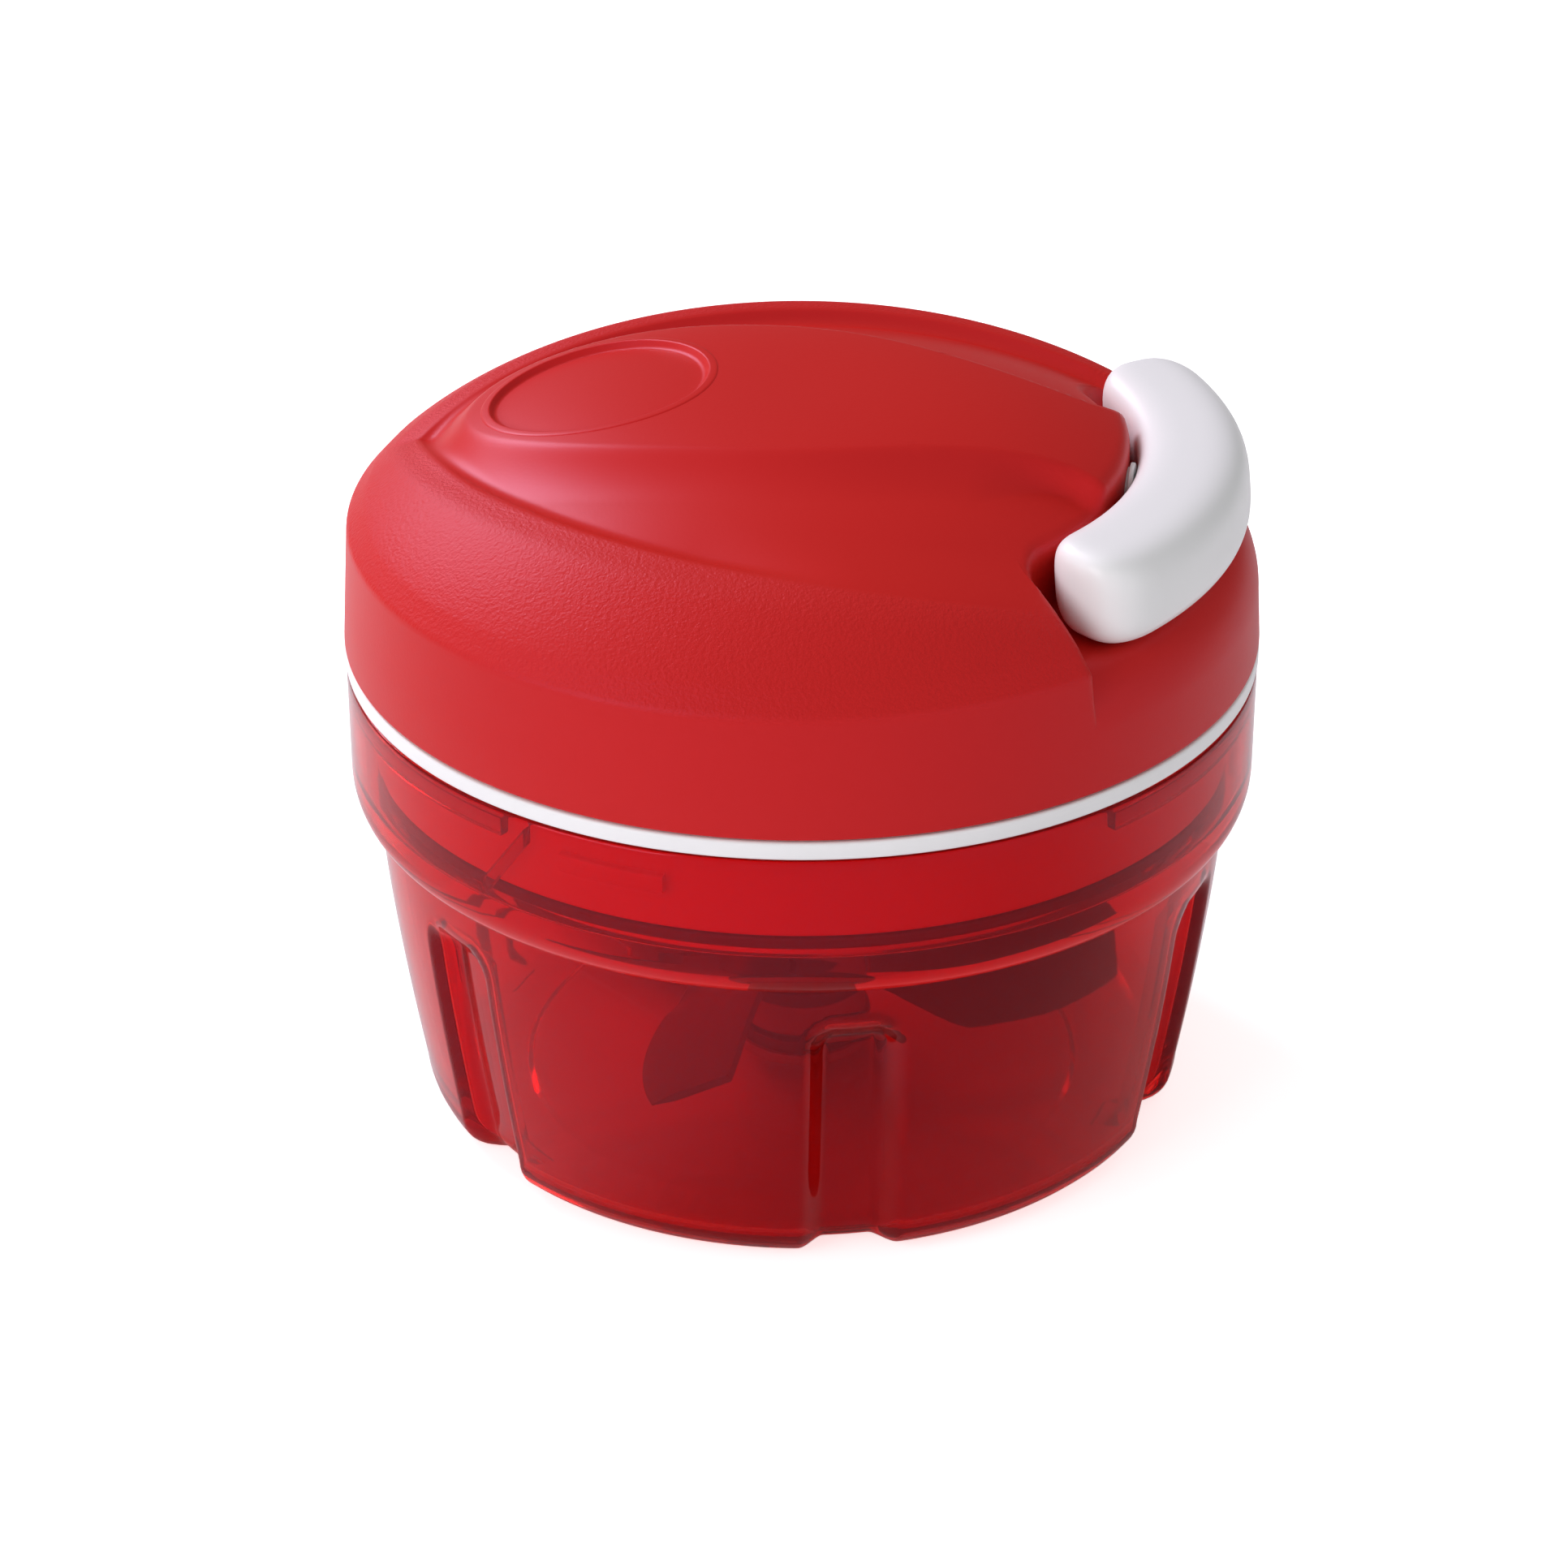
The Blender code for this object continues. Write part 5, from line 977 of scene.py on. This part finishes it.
def handle_point(row, column):
    """A point of the handle's skin: superellipse sections that shrink to a rounded end."""
    share = row / HANDLE_ROWS * 2.0 - 1.0
    end = math.degrees(HANDLE_END / handle_centre)
    straight = HANDLE_ANGLE - end
    degrees = math.sin(share * QUARTER) * HANDLE_ANGLE
    past = max(0.0, abs(degrees) - straight) / end
    width = max(0.0, 1.0 - past ** HANDLE_END_ROUND) ** (1.0 / HANDLE_END_ROUND)
    height = max(0.0, 1.0 - past ** HANDLE_END_FULL) ** (1.0 / HANDLE_END_FULL)
    turn = 2 * math.pi * column / HANDLE_COLUMNS
    power = 2.0 / HANDLE_SQUARENESS
    across = math.copysign(abs(math.cos(turn)) ** power, math.cos(turn))
    up = math.copysign(abs(math.sin(turn)) ** power, math.sin(turn)) * HANDLE_HEIGHT / 2 * height
    radius = handle_centre + (HANDLE_OUTER - HANDLE_INNER) / 2 * width * across - HANDLE_LEAN * up
    return around(radius, degrees, HANDLE_BOTTOM + HANDLE_HEIGHT / 2 + up)


grip = moulded(HANDLE_ROWS, HANDLE_COLUMNS, handle_point)
finished("pull_grip", grip, white_plastic, "handle", "handle_grip", "handle_plug")

# The pull cord is braided white polyester. It runs from the reel through the eyelet to its knot in
# the handle, and pays out between lid and handle as the handle is pulled; here it is one straight
# run, cut into rings along its length.
CORD_RADIUS = 0.9
CORD_START = 40.0
CORD_END = 48.0
CORD_SPARE = 2.0
CORD_RINGS = 40
CORD_FIBRE = (0.84, 0.83, 0.80)
CORD_FIBRE_SECOND = (0.70, 0.69, 0.66)
CORD_STEPS = 24

cord_fibre = moulded_plastic("cord_fibre", CORD_FIBRE, CORD_FIBRE_SECOND, clouds=900.0, grain=2500.0,
                             gloss=(0.75, 0.9), depth=0.08)
cord = bmesh.new()
bmesh.ops.create_cone(cord, cap_ends=True, segments=CORD_STEPS, radius1=CORD_RADIUS, radius2=CORD_RADIUS,
                      depth=CORD_END - CORD_START + CORD_SPARE)
bmesh.ops.rotate(cord, verts=cord.verts, matrix=Matrix.Rotation(QUARTER, 3, "Y"))
bmesh.ops.translate(cord, verts=cord.verts, vec=((CORD_START + CORD_END) / 2, 0.0, CORD_HEIGHT))
long_edges = [edge for edge in cord.edges if edge.calc_length() > CORD_END - CORD_START]
bmesh.ops.subdivide_edges(cord, edges=long_edges, cuts=CORD_RINGS, use_grid_fill=True)
cord_run = drawn("cord_run", cord, cord_fibre)
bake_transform(cord_run)
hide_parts("pull_cord")

# Everything else is shut inside the lid and keeps its CAD mesh: the reel with its cord and spring,
# the post it turns on, the clutch and the drive.
INSIDE = {
    grey_plastic: ("reel", "reel_cap", "spring_arbor", "drive_bush"),
    white_plastic: ("pawl_a", "pawl_b", "drive_cup"),
    turned_steel: ("arbor_screw", "arbor_washer", "pawl_pin_a", "pawl_pin_b", "drive_clip",
                   "recoil_spring", "lid_screw_1", "lid_screw_2", "lid_screw_3", "lid_screw_4"),
    cord_fibre: ("cord_winding", "cord_knot"),
}
for finish, nodes in INSIDE.items():
    for name in nodes:
        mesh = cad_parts[name].data
        mesh.materials.clear()
        mesh.materials.append(finish)

# The floor is plain pale paper in a white surround, with soft lamps as in a small studio. Paper and
# surround look white to the camera, and the light on the chopper stays at a plain level.
FLOOR_RADIUS = 3000.0
FLOOR_STEPS = 128
FLOOR_COLOUR = (0.85, 0.85, 0.85)
FLOOR_ROUGHNESS = 0.9
PAPER_GLOW = 0.68
PLAIN_WHITE = (1.0, 1.0, 1.0, 1.0)
WORLD_LIGHT = 0.89
CEILING_LIGHT = 0.5
CEILING_SPAN = (0.05, 0.4)
BACK_LIGHT = 0.12
BACK_SPAN = (-0.1, 0.5)
LAMPS = (("sheen", (-640.0, 490.0, 650.0), 400.0, 6.5, (1.0, 0.92, 1.06)),
         ("front", (-570.0, -700.0, 480.0), 600.0, 3.6, (1.0, 0.96, 1.0)),
         ("right", (700.0, -560.0, 380.0), 700.0, 0.3, (1.0, 0.99, 1.0)))

floor_shape = bmesh.new()
bmesh.ops.create_circle(floor_shape, cap_ends=True, segments=FLOOR_STEPS, radius=FLOOR_RADIUS * MM)
floor_mesh = bpy.data.meshes.new("floor")
floor_shape.to_mesh(floor_mesh)
floor_shape.free()
floor = bpy.data.objects.new("floor", floor_mesh)
bpy.context.scene.collection.objects.link(floor)
floor_finish = bpy.data.materials.new("floor_paper")
floor_finish.use_nodes = True
floor_tree = floor_finish.node_tree
paper = floor_tree.nodes["Principled BSDF"]
paper.inputs["Base Color"].default_value = (*FLOOR_COLOUR, 1.0)
paper.inputs["Roughness"].default_value = FLOOR_ROUGHNESS
path = put(floor_tree, "ShaderNodeLightPath")
glow = put(floor_tree, "ShaderNodeMath", {0: path.outputs["Is Camera Ray"], 1: PAPER_GLOW},
           operation="MULTIPLY")
paper.inputs["Emission Color"].default_value = PLAIN_WHITE
floor_tree.links.new(glow.outputs[0], paper.inputs["Emission Strength"])
below = put(floor_tree, "ShaderNodeNewGeometry")
unseen = put(floor_tree, "ShaderNodeBsdfTransparent")
both = put(floor_tree, "ShaderNodeMixShader", {0: below.outputs["Backfacing"], 1: paper.outputs[0],
                                               2: unseen.outputs[0]})
floor_tree.links.new(both.outputs[0], floor_tree.nodes["Material Output"].inputs["Surface"])
floor_mesh.materials.append(floor_finish)

aim = Vector((0.0, 0.0, AIM_HEIGHT))
for name, place, side, power, colour in LAMPS:
    lamp_data = bpy.data.lights.new(name, "AREA")
    lamp_data.size = side * MM
    lamp_data.energy = power
    lamp_data.color = colour
    lamp = bpy.data.objects.new(name, lamp_data)
    lamp.location = Vector(place) * MM
    lamp.rotation_mode = "QUATERNION"
    lamp.rotation_quaternion = (aim - Vector(place)).to_track_quat("-Z", "Y")
    bpy.context.scene.collection.objects.link(lamp)

world = bpy.data.worlds.new("surround")
bpy.context.scene.world = world
world.use_nodes = True
sky = world.node_tree
path = put(sky, "ShaderNodeLightPath")
way = put(sky, "ShaderNodeSeparateXYZ", {0: put(sky, "ShaderNodeTexCoord").outputs["Generated"]})
wall = put(sky, "ShaderNodeMapRange", {"Value": way.outputs["Z"], "From Min": CEILING_SPAN[0],
                                       "From Max": CEILING_SPAN[1], "To Min": 1.0,
                                       "To Max": CEILING_LIGHT})
back = put(sky, "ShaderNodeMapRange", {"Value": way.outputs["Y"], "From Min": BACK_SPAN[0],
                                       "From Max": BACK_SPAN[1], "To Min": 1.0, "To Max": BACK_LIGHT})
lit = put(sky, "ShaderNodeMapRange", {"Value": path.outputs["Is Glossy Ray"], "To Min": WORLD_LIGHT,
                                      "To Max": back.outputs["Result"]})
dimmed = put(sky, "ShaderNodeMath", {0: wall.outputs["Result"], 1: lit.outputs["Result"]},
             operation="MULTIPLY")
seen = put(sky, "ShaderNodeMath", {0: path.outputs["Is Camera Ray"],
                                   1: path.outputs["Is Transmission Ray"]}, operation="MAXIMUM")
level = put(sky, "ShaderNodeMath", {0: seen.outputs[0], 1: dimmed.outputs[0]}, operation="MAXIMUM")
sky.links.new(level.outputs[0], sky.nodes["Background"].inputs["Strength"])
sky.nodes["Background"].inputs["Color"].default_value = PLAIN_WHITE
bpy.context.scene.view_settings.view_transform = "Standard"
